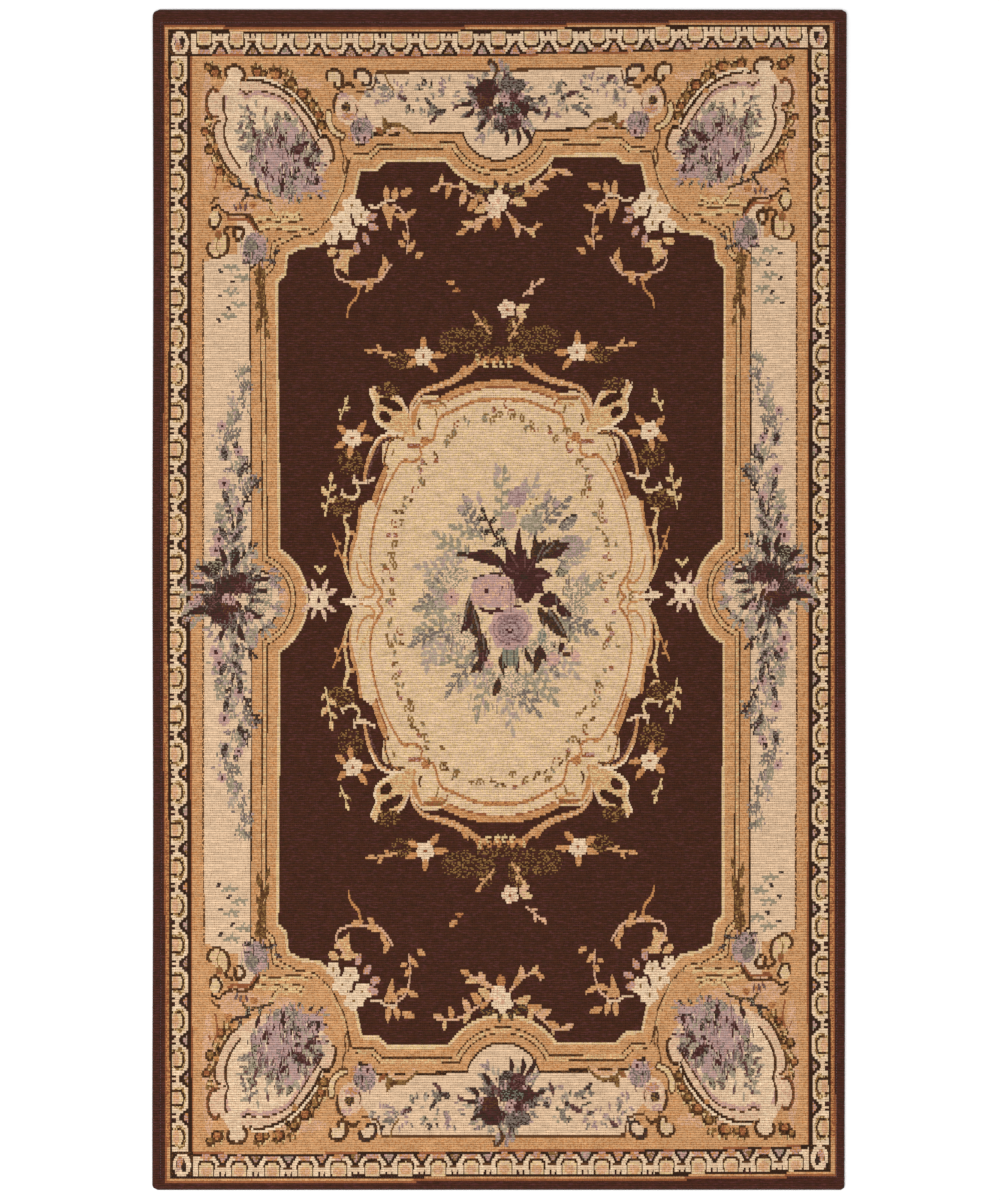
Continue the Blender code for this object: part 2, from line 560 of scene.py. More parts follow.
@dataclass
class ShellBorder:
    """The outer bands: a gold line, and a row of eggs in their shells between dark lines."""

    line_out: float = 334.6
    line_in: float = 331.2
    shells_out: float = 328.8
    shells_in: float = 312.8
    rust_out: float = 309.2
    gold_out: float = 307.9
    end_line_out: float = 577.0
    end_line_in: float = 573.6
    end_shells_out: float = 571.6
    end_shells_in: float = 549.6
    end_rust_out: float = 548.2
    end_gold_out: float = 547.6
    end_pitch: float = 32.8
    side_pitch: float = 38.0

    def weave(self, loom: Loom) -> None:
        """Weaves the bands from the outside in, then their shells and corners."""
        hand = Hand(loom)
        bands = (
            (self.line_out + 1.2, self.end_line_out + 1.2, (RUST,)),
            (self.line_out, self.end_line_out, (GOLD, AMBER)),
            (self.line_in, self.end_line_in, (BLACK,)),
            (self.shells_out, self.end_shells_out, (CREAM,)),
            (self.shells_in, self.end_shells_in, (BLACK,)),
            (self.rust_out, self.end_rust_out, (RUST,)),
            (self.gold_out, self.end_gold_out, (GOLD, AMBER)),
        )
        for half_width, half_length, yarns in bands:
            hand.shape(block(-half_width, half_width, -half_length, half_length), *yarns)
        for side in (-1, 1):
            hand.shape(block(side * 331, side * self.gold_out, -548, 548), BLACK)
            hand.shape(block(side * self.shells_out, side * self.shells_in, -549, 549), CREAM)
            hand.shape(block(side * self.rust_out, side * self.gold_out, -546, 546), RUST)
            strip = block(side * self.line_out, side * 331.2, -540, 540)
            hand.shape(strip, AMBER, RUST, share=0.45)
        self.weave_row(loom, ends=True)
        self.weave_row(loom, ends=False)
        for corner in four_hands(loom):
            self.weave_corner(corner)

    def weave_row(self, loom: Loom, ends: bool) -> None:
        """Weaves the shells along both ends, or along both sides."""
        pitch = self.end_pitch if ends else self.side_pitch
        half = self.shells_in if ends else self.end_shells_in
        count = round(2 * half / pitch)
        depth = self.end_shells_out - self.end_shells_in if ends else self.shells_out - self.shells_in
        inner = self.end_shells_in if ends else self.shells_in
        for sign in (-1, 1):
            for unit in range(count):
                at = (unit - (count - 1) / 2) * pitch
                if unit:
                    self.weave_dart(loom, sign, at - pitch / 2, inner, depth, ends, unit)
                self.weave_shell(loom, sign, at, inner, depth, pitch, ends)

    def aside(
        self, sign: int, at: float, inner: float, points: np.ndarray | Sequence[Point], ends: bool
    ) -> np.ndarray:
        """Turns points of one unit, x along the row and y outwards, into the pattern's own."""
        p = np.array(points, float)
        along, out = at + p[:, 0], sign * (inner + p[:, 1])
        return np.column_stack([along, out]) if ends else np.column_stack([out, along])

    def weave_dart(
        self, loom: Loom, sign: int, at: float, inner: float, depth: float, ends: bool, number: int
    ) -> None:
        """Weaves what stands between two shells.

        Args:
            loom: The chart to weave on.
            sign: 1 at the top or right, and -1 at the bottom or left.
            at: The place between the shells, along the row.
            inner: How far out the row's inner edge lies.
            depth: The row's depth.
            ends: Whether the row runs along an end of the rug.
            number: The dart's number, which picks its yarn.
        """
        reach = depth * 0.50 if ends else depth * 0.56
        foot = 9.0 if ends else 9.6
        wedge = self.aside(sign, at, inner, [(-foot, -0.5), (foot, -0.5), (1.6, reach), (-1.6, reach)], ends)
        loom.fill(wedge, (BLACK, PINE), 0.3)
        tip = reach - (3.6 if ends else 4.6)
        core = self.aside(sign, at, inner, [(-4.8, 0.3), (4.8, 0.3), (0.6, tip), (-0.6, tip)], ends)
        loom.fill(core, ((ROSE, SAGE), (AMBER, ROSE), (OLIVE, ROSE))[number % 3], 0.4)
        if ends:
            bar = self.aside(sign, at, inner, [(-5.0, depth * 0.56), (5.0, depth * 0.56)], ends)
            loom.line(bar, (0.9, 0.9), (UMBER,))
        for side in (-2.9, 2.9):
            nick = self.aside(sign, at + side, inner, [(0, depth + 0.6), (0, depth - 3.0)], ends)
            loom.line(nick, (2.8, 1.8), (BLACK, MAROON))

    def weave_shell(
        self, loom: Loom, sign: int, at: float, inner: float, depth: float, pitch: float, ends: bool
    ) -> None:
        """Weaves one egg in its shell.

        Args:
            loom: The chart to weave on.
            sign: 1 at the top or right, and -1 at the bottom or left.
            at: The unit's middle along the row.
            inner: How far out the row's inner edge lies.
            depth: The row's depth.
            pitch: The unit's length along the row.
            ends: Whether the row runs along an end of the rug.
        """
        t = np.linspace(0, math.pi, 13)

        def cup(half: float, middle: float, drop: float, rim: float) -> np.ndarray:
            """A bowl that opens outwards."""
            bowl = np.column_stack([half * np.cos(t), depth * (middle - drop * np.sin(t))])
            whole = np.vstack([[(half * rim, depth)], bowl, [(-half * rim, depth)]])
            return self.aside(sign, at, inner, whole, ends)

        thick = 0.0 if ends else 0.03
        loom.fill(cup(pitch * 0.400, 0.50, 0.485, 1.0), (IVORY, CREAM), 0.4)
        if ends:
            cap = oval((0, depth * 0.10), pitch * 0.40, depth * 0.19)
            loom.fill(self.aside(sign, at, inner, cap, ends), (AMBER, ROSE), 0.4)
        else:
            shade = cup(pitch * 0.300, 0.48, 0.34, 0.70)
            loom.fill(shade, (OLIVE, STRAW), 0.4)
        loom.fill(cup(pitch * (0.262 - thick), 0.50, 0.29, 0.90), (BLACK, UMBER), 0.35)
        loom.fill(cup(pitch * (0.218 - thick), 0.56, 0.23, 0.94), (STRAW, CREAM), 0.5)
        glow = oval((0, depth * 0.76), pitch * 0.33, depth * 0.40)
        loom.fill(self.aside(sign, at, inner, glow, ends), (BLUSH, GOLD), 0.5)

    def weave_corner(self, hand: Hand) -> None:
        """Weaves the curl in a corner of the row."""
        x, y = (self.shells_in + self.shells_out) / 2 - 1.4, (
            self.end_shells_in + self.end_shells_out
        ) / 2 - 0.6
        left, low = self.shells_in - 4.2, self.end_shells_in - 2.0
        hand.shape(block(left, self.shells_out + 1.5, low, self.end_shells_out), BLACK, UMBER, share=0.4)
        hand.spot((x, y), 17.5, 23.5, IVORY, CREAM, share=0.5)
        hand.spot((x + 1.0, y - 1.0), 9.5, 15.0, BLACK, UMBER)
        hand.spot((x + 1.8, y - 2.4), 6.5, 11.5, AMBER, ROSE, share=0.5)
        hand.spot((x - 2.0, y + 2.6), 5.2, 8.0, PINE, BLACK)
        hand.leaf((x + 7, y + 9), 235, 10, 5.0, CREAM, ROSE)
        hand.line([(x + 8.0, y + 10.5), (x + 8.0, y + 5.5)], (3.0, 2.0), BLACK)


@dataclass
class FieldFrame:
    """The gold ground, the cream panels, and the mouldings that run round the brown field."""

    half_width: float = 221.3
    half_length: float = 441.0
    panel_out: float = 295.6
    panel_end_out: float = 531.5
    moulding: float = 28.8
    dip_middle: float = 476.5
    dip_radius: float = 64.5
    bulge_middle: float = 254.6
    bulge_radius: float = 61.2
    end_panel: tuple[float, float] = (150, 440)
    side_panel: tuple[float, float] = (30, 350)
    side_gap: tuple[float, float, float] = (200, 262, 385)
    end_line: tuple[float, float] = (2, 1.5)
    side_line: float = 1.9
    corner: tuple[Point, ...] = (
        (113, 441), (122.5, 431.5), (138.5, 431), (143.5, 408), (158, 378), (171, 366), (180, 358),
        (198, 355.5),
        (210.8, 349), (213, 330), (221.3, 322),
    )

    def quarter(self, out: float) -> np.ndarray:
        """A line that runs round the field, from the middle of an end to the middle of a side.

        Args:
            out: How far it lies outside the field's edge.

        Returns:
            Its turning points, in the quarter where both are positive.
        """
        end_radius, side_radius = self.dip_radius - out, self.bulge_radius - out
        reach = math.acos(min((self.dip_middle - self.half_length - out) / end_radius, 1.0))
        turn = np.linspace(0, reach, 9)
        dip = np.column_stack([end_radius * np.sin(turn), self.dip_middle - end_radius * np.cos(turn)])
        reach = math.acos(min((self.bulge_middle - self.half_width - out) / side_radius, 1.0))
        turn = np.linspace(reach, 0, 9)
        bulge = np.column_stack([self.bulge_middle - side_radius * np.cos(turn), side_radius * np.sin(turn)])
        run = np.array([dip[-1], *self.corner, bulge[0]])
        run[0, 1] = self.half_length
        run[-1, 0] = self.half_width
        steps = np.diff(run, axis=0)
        steps /= np.hypot(steps[:, :1], steps[:, 1:])
        normals = np.column_stack([-steps[:, 1], steps[:, 0]])
        mitre = normals[:-1] + normals[1:]
        mitre /= np.maximum((mitre * normals[1:]).sum(1, keepdims=True), 0.5)
        return np.vstack([dip, run[1:-1] + mitre * out, bulge])

    def edge(self, out: float = 0.0) -> np.ndarray:
        """A whole line round the field, closed, that lies outside its edge by the given width."""
        q = self.quarter(out)
        half = np.vstack([q, (q * (1, -1))[::-1][1:]])
        whole = np.vstack([half, (half * (-1, 1))[::-1][1:]])
        return dense([(x, y) for x, y in whole])

    def weave(self, loom: Loom) -> None:
        """Weaves the grounds from the outside in."""
        hand = Hand(loom)
        self.weave_panels(loom)
        bands = (
            (self.moulding, (BLACK, UMBER)),
            (27.3, (GOLD, AMBER)),
            (18.2, (UMBER, BLACK)),
            (16.8, (GOLD, STRAW)),
            (13.6, (UMBER, BLACK)),
            (12.2, (GOLD, AMBER)),
            (2.4, (STRAW, CREAM)),
            (0.0, (BROWN,)),
        )
        for out, yarns in bands:
            hand.shape(self.edge(out), *yarns)
        for side in (-1, 1):
            hand.spot((side * (self.bulge_middle - 36), 2), 9, 13, GOLD, BLUSH, share=0.6)

    def weave_panels(self, loom: Loom) -> None:
        """Weaves the cream panels at the ends and the sides, each with its thin dark line."""
        hand = Hand(loom)
        wide, low = self.end_panel
        inner, long = self.half_width + self.side_panel[0], self.side_panel[1]
        aside, above = self.end_line
        for sign in (-1, 1):
            top = sign * (self.panel_end_out + above)
            hand.shape(block(-wide - aside, wide + aside, sign * low, top), UMBER)
            hand.shape(block(-wide, wide, sign * low, sign * self.panel_end_out), CREAM)
            edge = block(sign * (self.panel_out + self.side_line), sign * inner, -long, long)
            hand.shape(edge, UMBER, GOLD, share=0.35)
            hand.shape(block(sign * self.panel_out, sign * inner, -long, long), CREAM)
        near, far, reach = self.side_gap
        for sign in (-1, 1):
            hand.shape(block(sign * near, sign * far, -reach, reach), CREAM)


@dataclass
class CornerCartouche:
    """A cream shell in a scrolled frame, with a bouquet in it, at each corner."""

    seed: int = SEED + 1

    def weave(self, loom: Loom) -> None:
        """Weaves it into all four corners."""
        for hand in four_hands(loom):
            self.weave_ground(hand)
            self.weave_shell(hand)
            self.weave_small_scrolls(hand)
            self.weave_end_scroll(hand)
            self.weave_side_scroll(hand)
            self.weave_bouquet(hand)

    def weave_ground(self, hand: Hand) -> None:
        """The gold ground round the shell, with its strands where the mouldings part."""
        ground = [
            (307, 547), (307, 344), (293, 342), (283, 346), (273, 352), (270, 362), (275, 372), (268, 382),
            (258, 385), (249, 380), (243, 370), (236, 366), (223, 364), (203, 368), (190, 374), (178, 376),
            (168, 394), (158, 418), (154, 438), (146, 446), (142, 456), (146, 466), (150, 480), (142, 500),
            (134, 510), (130, 524), (122, 532), (122, 547),
        ]
        hand.shape(dense(ground + ground[:1])[:-1], GOLD, AMBER, share=0.22)
        for place, width, height in (
            ((292, 470), 14, 120), ((240, 400), 70, 16), ((200, 520), 50, 12), ((262, 400), 40, 30)
        ):
            hand.spot(place, width, height, GOLD, BLUSH, share=0.5)
        strands = (
            [(240, 374), (226, 378), (208, 375), (192, 377)],
            [(244, 382), (230, 386), (214, 383), (196, 386)],
            [(229, 398), (224, 391), (218, 386), (214, 390), (207, 387), (198, 392)],
        )
        for strand in strands:
            hand.curve(strand, (3.6, 3.0, 2.0), STRAW, GOLD)
            hand.curve([(x, y - 2.3) for x, y in strand], (1.4, 1.2), UMBER)
        hand.curve([(159, 465), (157.5, 454), (155, 445), (156, 436), (154.5, 429)], (1.5, 1.4), UMBER)
        hand.curve([(153, 447), (151.5, 439), (154, 428)], (1.5, 1.4), UMBER)

    def weave_shell(self, hand: Hand) -> None:
        """The shell's cream ring and pool, with their brown and double dark lines."""
        ring = [
            (251, 523), (245, 524), (236, 523), (226.5, 520), (217.5, 515.5), (208, 508.5), (200, 500.5),
            (193.3, 492), (187.5, 484), (183, 476), (180, 469), (172, 466), (166, 458), (166, 444),
            (178, 428), (206, 412), (236, 412), (261, 425), (269, 430.5), (275, 438.5), (279.5, 446.5),
            (283.5, 456), (286.5, 466), (285.5, 475), (281.5, 480), (284, 484), (290, 487), (293, 495),
            (292.5, 505), (288, 512), (281, 511), (277, 516), (272, 522), (262, 519),
        ]
        hand.pool(ring, CREAM, BLUSH, share=0.28)
        pool = [
            (276, 499), (275, 507), (269, 512), (262, 513.5), (256.5, 512), (253, 509), (248.5, 512),
            (241.5, 513), (234.5, 512), (229, 510.5), (219.5, 507), (211.5, 501.5), (206, 494.5),
            (201, 487.5), (192, 474), (184, 462), (180, 450), (190, 430), (220, 424), (252, 429), (259, 434),
            (265.5, 443), (271.5, 453.5), (275, 465), (275, 475), (272.5, 483), (275, 490),
        ]
        edge = smooth(pool, 4, closed=True)
        hand.shape(edge, IVORY, CREAM, share=0.6)
        shown = smooth(pool[:18], 4)
        hand.line(shown * 0.985 + np.array([3.2, 4.4]), (3.6, 2.6), ROSE, BLUSH)
        hand.line(shown, (2.9, 2.6), UMBER, BLACK)
        hand.line(smooth(pool[20:] + pool[:1], 4), (2.9, 2.7), UMBER, BLACK)
        arc = smooth(ring[:11], 4)
        hand.line(arc[len(arc) // 3 :] + np.array([-2.8, 2.8]), (1.4, 2.2, 2.2), UMBER, BLACK)
        hand.line(arc, (3.0, 4.0, 3.4), BLACK, UMBER)
        hand.line(arc + np.array([-1.5, 1.7]), (1.7, 1.7, 1.5), IVORY)
        left = smooth(
            [
                (276, 482), (281.5, 479.5), (285.7, 475), (286.2, 466), (283.4, 455.5), (279.4, 446.3),
                (274.8, 438.3), (269, 430.2), (261, 424.5),
            ],
            4,
        )
        hand.line(left, (2.4, 3.6, 2.6), UMBER, BLACK)
        side = [
            (282, 511), (286, 513.5), (290.3, 510.5), (292.6, 504.8), (293.2, 497), (291.4, 490),
            (288, 485.3), (282, 484.7),
        ]
        top = [
            (270, 525), (273.6, 529), (272.5, 534.7), (265.6, 537.5), (258.7, 535.8), (254.7, 530),
            (255.8, 524), (259.8, 523),
        ]
        hand.pool(top, CREAM)
        hand.line(smooth(side, 4), (3.2, 3.0, 3.4, 2.6), UMBER, RUST)
        hand.line(smooth(top, 4), (2.4, 3.2, 2.6, 3.2), UMBER, BLACK)
        hand.curve([(264, 528), (266, 521), (268, 514)], (11.0, 13.0, 16.0), CREAM, IVORY)

    def weave_small_scrolls(self, hand: Hand) -> None:
        """The leaf tufts that stand all round the shell."""
        tufts = (
            (291, 534, 120), (284, 528, 150), (243, 533, 90), (239, 529, 60), (224, 531, 80), (209, 528, 70),
            (210, 518, 50), (202, 514, 40), (190, 506, 60), (185, 499, 20), (180, 492, 30), (177, 484, 15),
            (294, 479, 150), (293, 466, 200), (290, 456, 215), (287, 445, 220), (282, 434, 225),
            (274, 426, 240),
        )
        for number, (x, y, heading) in enumerate(tufts):
            yarns = (UMBER, OLIVE) if number % 3 else (BLACK, OLIVE)
            for turn, length in ((-48, 7.5), (0, 9.0), (50, 7.5)):
                hand.leaf((x, y), heading + turn, length, 3.6, *yarns, share=0.45)
            hand.leaf((x, y), heading + 22, 7.0, 2.6, STRAW, AMBER, share=0.4)
        buds = (
            (241, 532, 5.5), (235, 531, 3.4), (222.6, 530, 6), (207, 521, 5), (196, 510, 6), (186, 499, 4.6),
            (180, 489, 4.6), (177, 478, 5), (284, 531, 5.5), (291, 536, 4), (294, 470, 4.4), (290, 452, 5),
            (279, 430, 4.6),
        )
        for number, (x, y, radius) in enumerate(buds):
            hand.spot((x, y), radius * 2 + 1.5, radius * 2, UMBER, BLACK, share=0.4)
            hand.spot((x + 0.5, y - 1), radius * 1.2, radius * 1.1, (RUST, OLIVE)[number % 2], AMBER)
            hand.leaf((x - radius, y + radius * 0.6), 60, radius, 2.0, STRAW, OLIVE)
        for x, y in ((226, 529), (206, 503), (268, 421), (284, 455)):
            hand.spot((x, y), 6, 5, AMBER, OLIVE)
        hand.curve([(292, 432), (289, 437), (284, 433), (283, 424), (285, 412)], (1.6, 1.6), RUST)
        hand.curve([(269, 420), (266, 417), (259, 414.5), (250, 413)], (2.6, 1.6), PINE)
        hand.curve([(257, 402), (252, 407), (246, 406), (234, 403), (226, 400)], (2.4, 1.8), PINE, OLIVE)
        hand.leaves(((262, 424, 240), (250, 405, 60), (240, 404, 90)), PINE, SAGE, length=9, width=4)
        for place in ((272, 414), (258, 396), (246, 398)):
            hand.spot(place, 8, 6, AMBER, RUST)

    def weave_end_scroll(self, hand: Hand) -> None:
        """The scrolls and the rosette where the corner meets an end panel."""
        body = [(170, 490), (169.5, 480), (164.6, 471.5), (156.5, 467)]
        hand.curve(body, (7.5, 7.5), UMBER)
        hand.curve(body, (5.0, 5.0), STRAW, CREAM)
        spiral = [
            (171.4, 525), (171.4, 531), (163.4, 534), (156.5, 529), (155.9, 521), (158.8, 516.5),
            (163.4, 518), (163.4, 522),
        ]
        hand.pool(spiral, CREAM, STRAW)
        hand.line(smooth(spiral, 4), (2.6, 4.4, 3.2), UMBER, BLACK)
        hand.curve([(155.4, 517.5), (148.5, 521), (143.9, 516.5)], (2.6, 3.4, 2.6), UMBER, BLACK)
        hand.curve([(156.5, 512), (162.3, 507.5), (164.6, 500), (164, 491)], (2.2, 3.2, 2.2), UMBER, PINE)
        hand.spot((151, 494), 24, 30, CREAM, BLUSH)
        hand.spot((155, 507), 12, 6, ROSE, CREAM)
        hand.spot((150, 487), 14, 7, AMBER, ROSE, share=0.5)
        hand.shape(oval((152.5, 496), 10.5, 9.0, 7), PINE, OLIVE, share=0.4)
        hand.curve([(143, 500), (141, 494), (143, 488)], (1.4, 1.8), UMBER)
        hand.curve([(141, 512), (132, 513), (124, 518), (122, 528)], (1.6, 1.6), UMBER)
        hook = [(143, 528), (142, 533), (134, 534), (128, 530), (127, 523), (131, 519), (136, 521)]
        hand.pool(hook, CREAM)
        hand.line(smooth(hook, 4), (4.2, 3.4, 2.4), PINE, UMBER)
        hand.curve(
            [(176, 464), (170.3, 463.5), (166.3, 454.5), (165, 445), (169, 441)], (2.8, 3.6, 2.6), UMBER,
            BLACK,
        )
        hand.curve([(182, 461), (177.2, 466), (172, 466)], (2.0, 3.0), BLACK)
        hand.leaf((150, 470), 250, 9, 5, AMBER, ROSE)

    def weave_side_scroll(self, hand: Hand) -> None:
        """The scrolls where the corner meets a side panel."""
        arch = [
            (277.7, 392.5), (272, 389), (265, 387.6), (256, 388.4), (249.5, 386), (244.5, 379), (241, 374)
        ]
        hand.curve(arch, (2.8, 4.0, 3.0), UMBER, BLACK)
        hand.curve([(x, y - 5) for x, y in arch[1:]], (1.6, 2.0, 1.4), RUST)
        hand.curve([(288.5, 398), (284.3, 403), (281, 404)], (1.6, 2.0), UMBER)
        hand.curve([(288, 392.5), (281, 396), (278.5, 393.4)], (1.8, 2.2), BLACK)
        spiral = [(281, 387.6), (278.5, 383.4), (281, 377.6), (285.2, 374.3), (289.3, 376.8), (290.1, 382.6)]
        hand.spot((284, 382), 14, 16, STRAW, CREAM)
        hand.line(smooth(spiral, 4), (2.6, 3.4, 2.6), UMBER, BLACK)
        hook = [
            (290, 358.5), (292.6, 354.4), (290, 348.6), (284.3, 345.3), (277.7, 347.8), (272.7, 351.9),
            (271.1, 359.4), (271.9, 366), (275.2, 370), (272.7, 374.3), (267.7, 375.9),
        ]
        hand.pool(hook[:9], STRAW, BLUSH)
        hand.line(smooth(hook, 4), (3.4, 3.0, 3.8, 2.6), UMBER, BLACK)
        hand.spot((281, 367.5), 7, 8, RUST, OLIVE)
        hand.curve([(281, 366), (283, 356), (280, 349)], (1.6, 1.4), OLIVE)
        curl = [(265.3, 367), (264.4, 374.3), (259.4, 375.5), (255.3, 371), (258.6, 364.3), (262.8, 362.7)]
        hand.line(smooth(curl, 4), (4.0, 3.4, 2.4), UMBER, BLACK)
        hand.leaves(((258, 392, 75), (254, 392, 100), (262, 391, 60)), PLUM, SLATE, length=8, width=2.6)

    def weave_bouquet(self, hand: Hand) -> None:
        """Lilac blossoms with dark hearts, dark stems, and grey leaves that spill over the frame."""
        rng = np.random.default_rng(self.seed)
        for heading in range(0, 360, 24):
            near = beside((222, 452), 14.0, heading)
            pair = (SAGE, MIST) if heading % 48 else (SLATE, MIST)
            hand.leaf(near, heading + rng.uniform(-15, 15), 18 + 12 * rng.random(), 8, *pair, share=0.5)
        hand.pool(
            [
                (246, 446), (236, 462), (222, 470), (208, 462), (200, 444), (190, 430), (186, 416),
                (200, 410), (220, 414), (240, 424), (250, 434),
            ],
            LILAC, SLATE,
        )
        hand.spot((189, 444), 22, 18, SAGE, MIST, share=0.5)
        hand.spot((214, 413), 26, 16, SLATE, MIST, share=0.5)
        hand.streaks((222, 456), 62, 60, 46, rng, PLUM, SLATE)
        for place, radius in (
            ((232, 440), 15), ((226, 424), 11), ((212, 470), 12), ((196, 428), 12), ((184, 420), 9),
            ((208, 446), 9),
        ):
            hand.blossom(
                place, radius, 5, LILAC, ROSE, heart=MAROON, heart_size=0.1, start=rng.uniform(0, 70)
            )
        hand.shape(
            smooth([(238, 436), (233, 438), (229, 433), (228, 429), (234, 427)], 3, closed=True), MAROON
        )
        hand.shape(
            smooth([(220, 471), (215, 472), (211, 469), (213, 464), (218, 463)], 3, closed=True), MAROON
        )
        hand.curve(
            [(234, 474), (226, 466), (220, 460), (212, 452), (205, 448), (204, 442)], (1.8, 3.2, 2.0),
            MAROON,
        )
        hand.curve([(250, 486), (246, 474), (242, 460), (238, 448)], (1.6, 2.6, 1.6), PLUM, MAROON)
        hand.curve([(226, 482), (225, 470), (222, 462)], (1.4, 2.0), MAROON)
        hand.leaves(
            ((206, 448, -220, 22, 8), (196, 446, -130, 18, 5), (190, 440, -172, 20, 5)), MAROON, PLUM
        )
        hand.leaves(
            ((186, 432, 250, 16, 7), (216, 424, 275, 18, 7), (244, 424, 250, 12, 5), (204, 436, 300, 12, 5)),
            PINE, MAROON, share=0.4,
        )
        hand.leaves(
            ((252, 460, 160, 14), (250, 446, 190, 14), (254, 474, 140, 12), (208, 480, 60, 14)), SAGE, PINE,
            width=6, share=0.35,
        )
        hand.tufts((214, 440), 70, 66, 56, rng, 7.0, ROSE, MAUVE, LILAC, MIST)
        hand.streaks((216, 440), 74, 70, 70, rng, ROSE, MAUVE, MIST, LILAC, PLUM)
        hand.tufts((240, 478), 46, 40, 34, rng, 8.0, SLATE, MIST, SAGE, PLUM)
        hand.streaks((218, 444), 70, 66, 60, rng, MAROON, PINE, MIST, IVORY)
        hand.tufts((196, 440), 30, 40, 18, rng, 9.0, PINE, MAROON, SLATE)
        hand.tufts((200, 414), 56, 30, 26, rng, 7.0, PINE, SAGE, LILAC, ROSE)


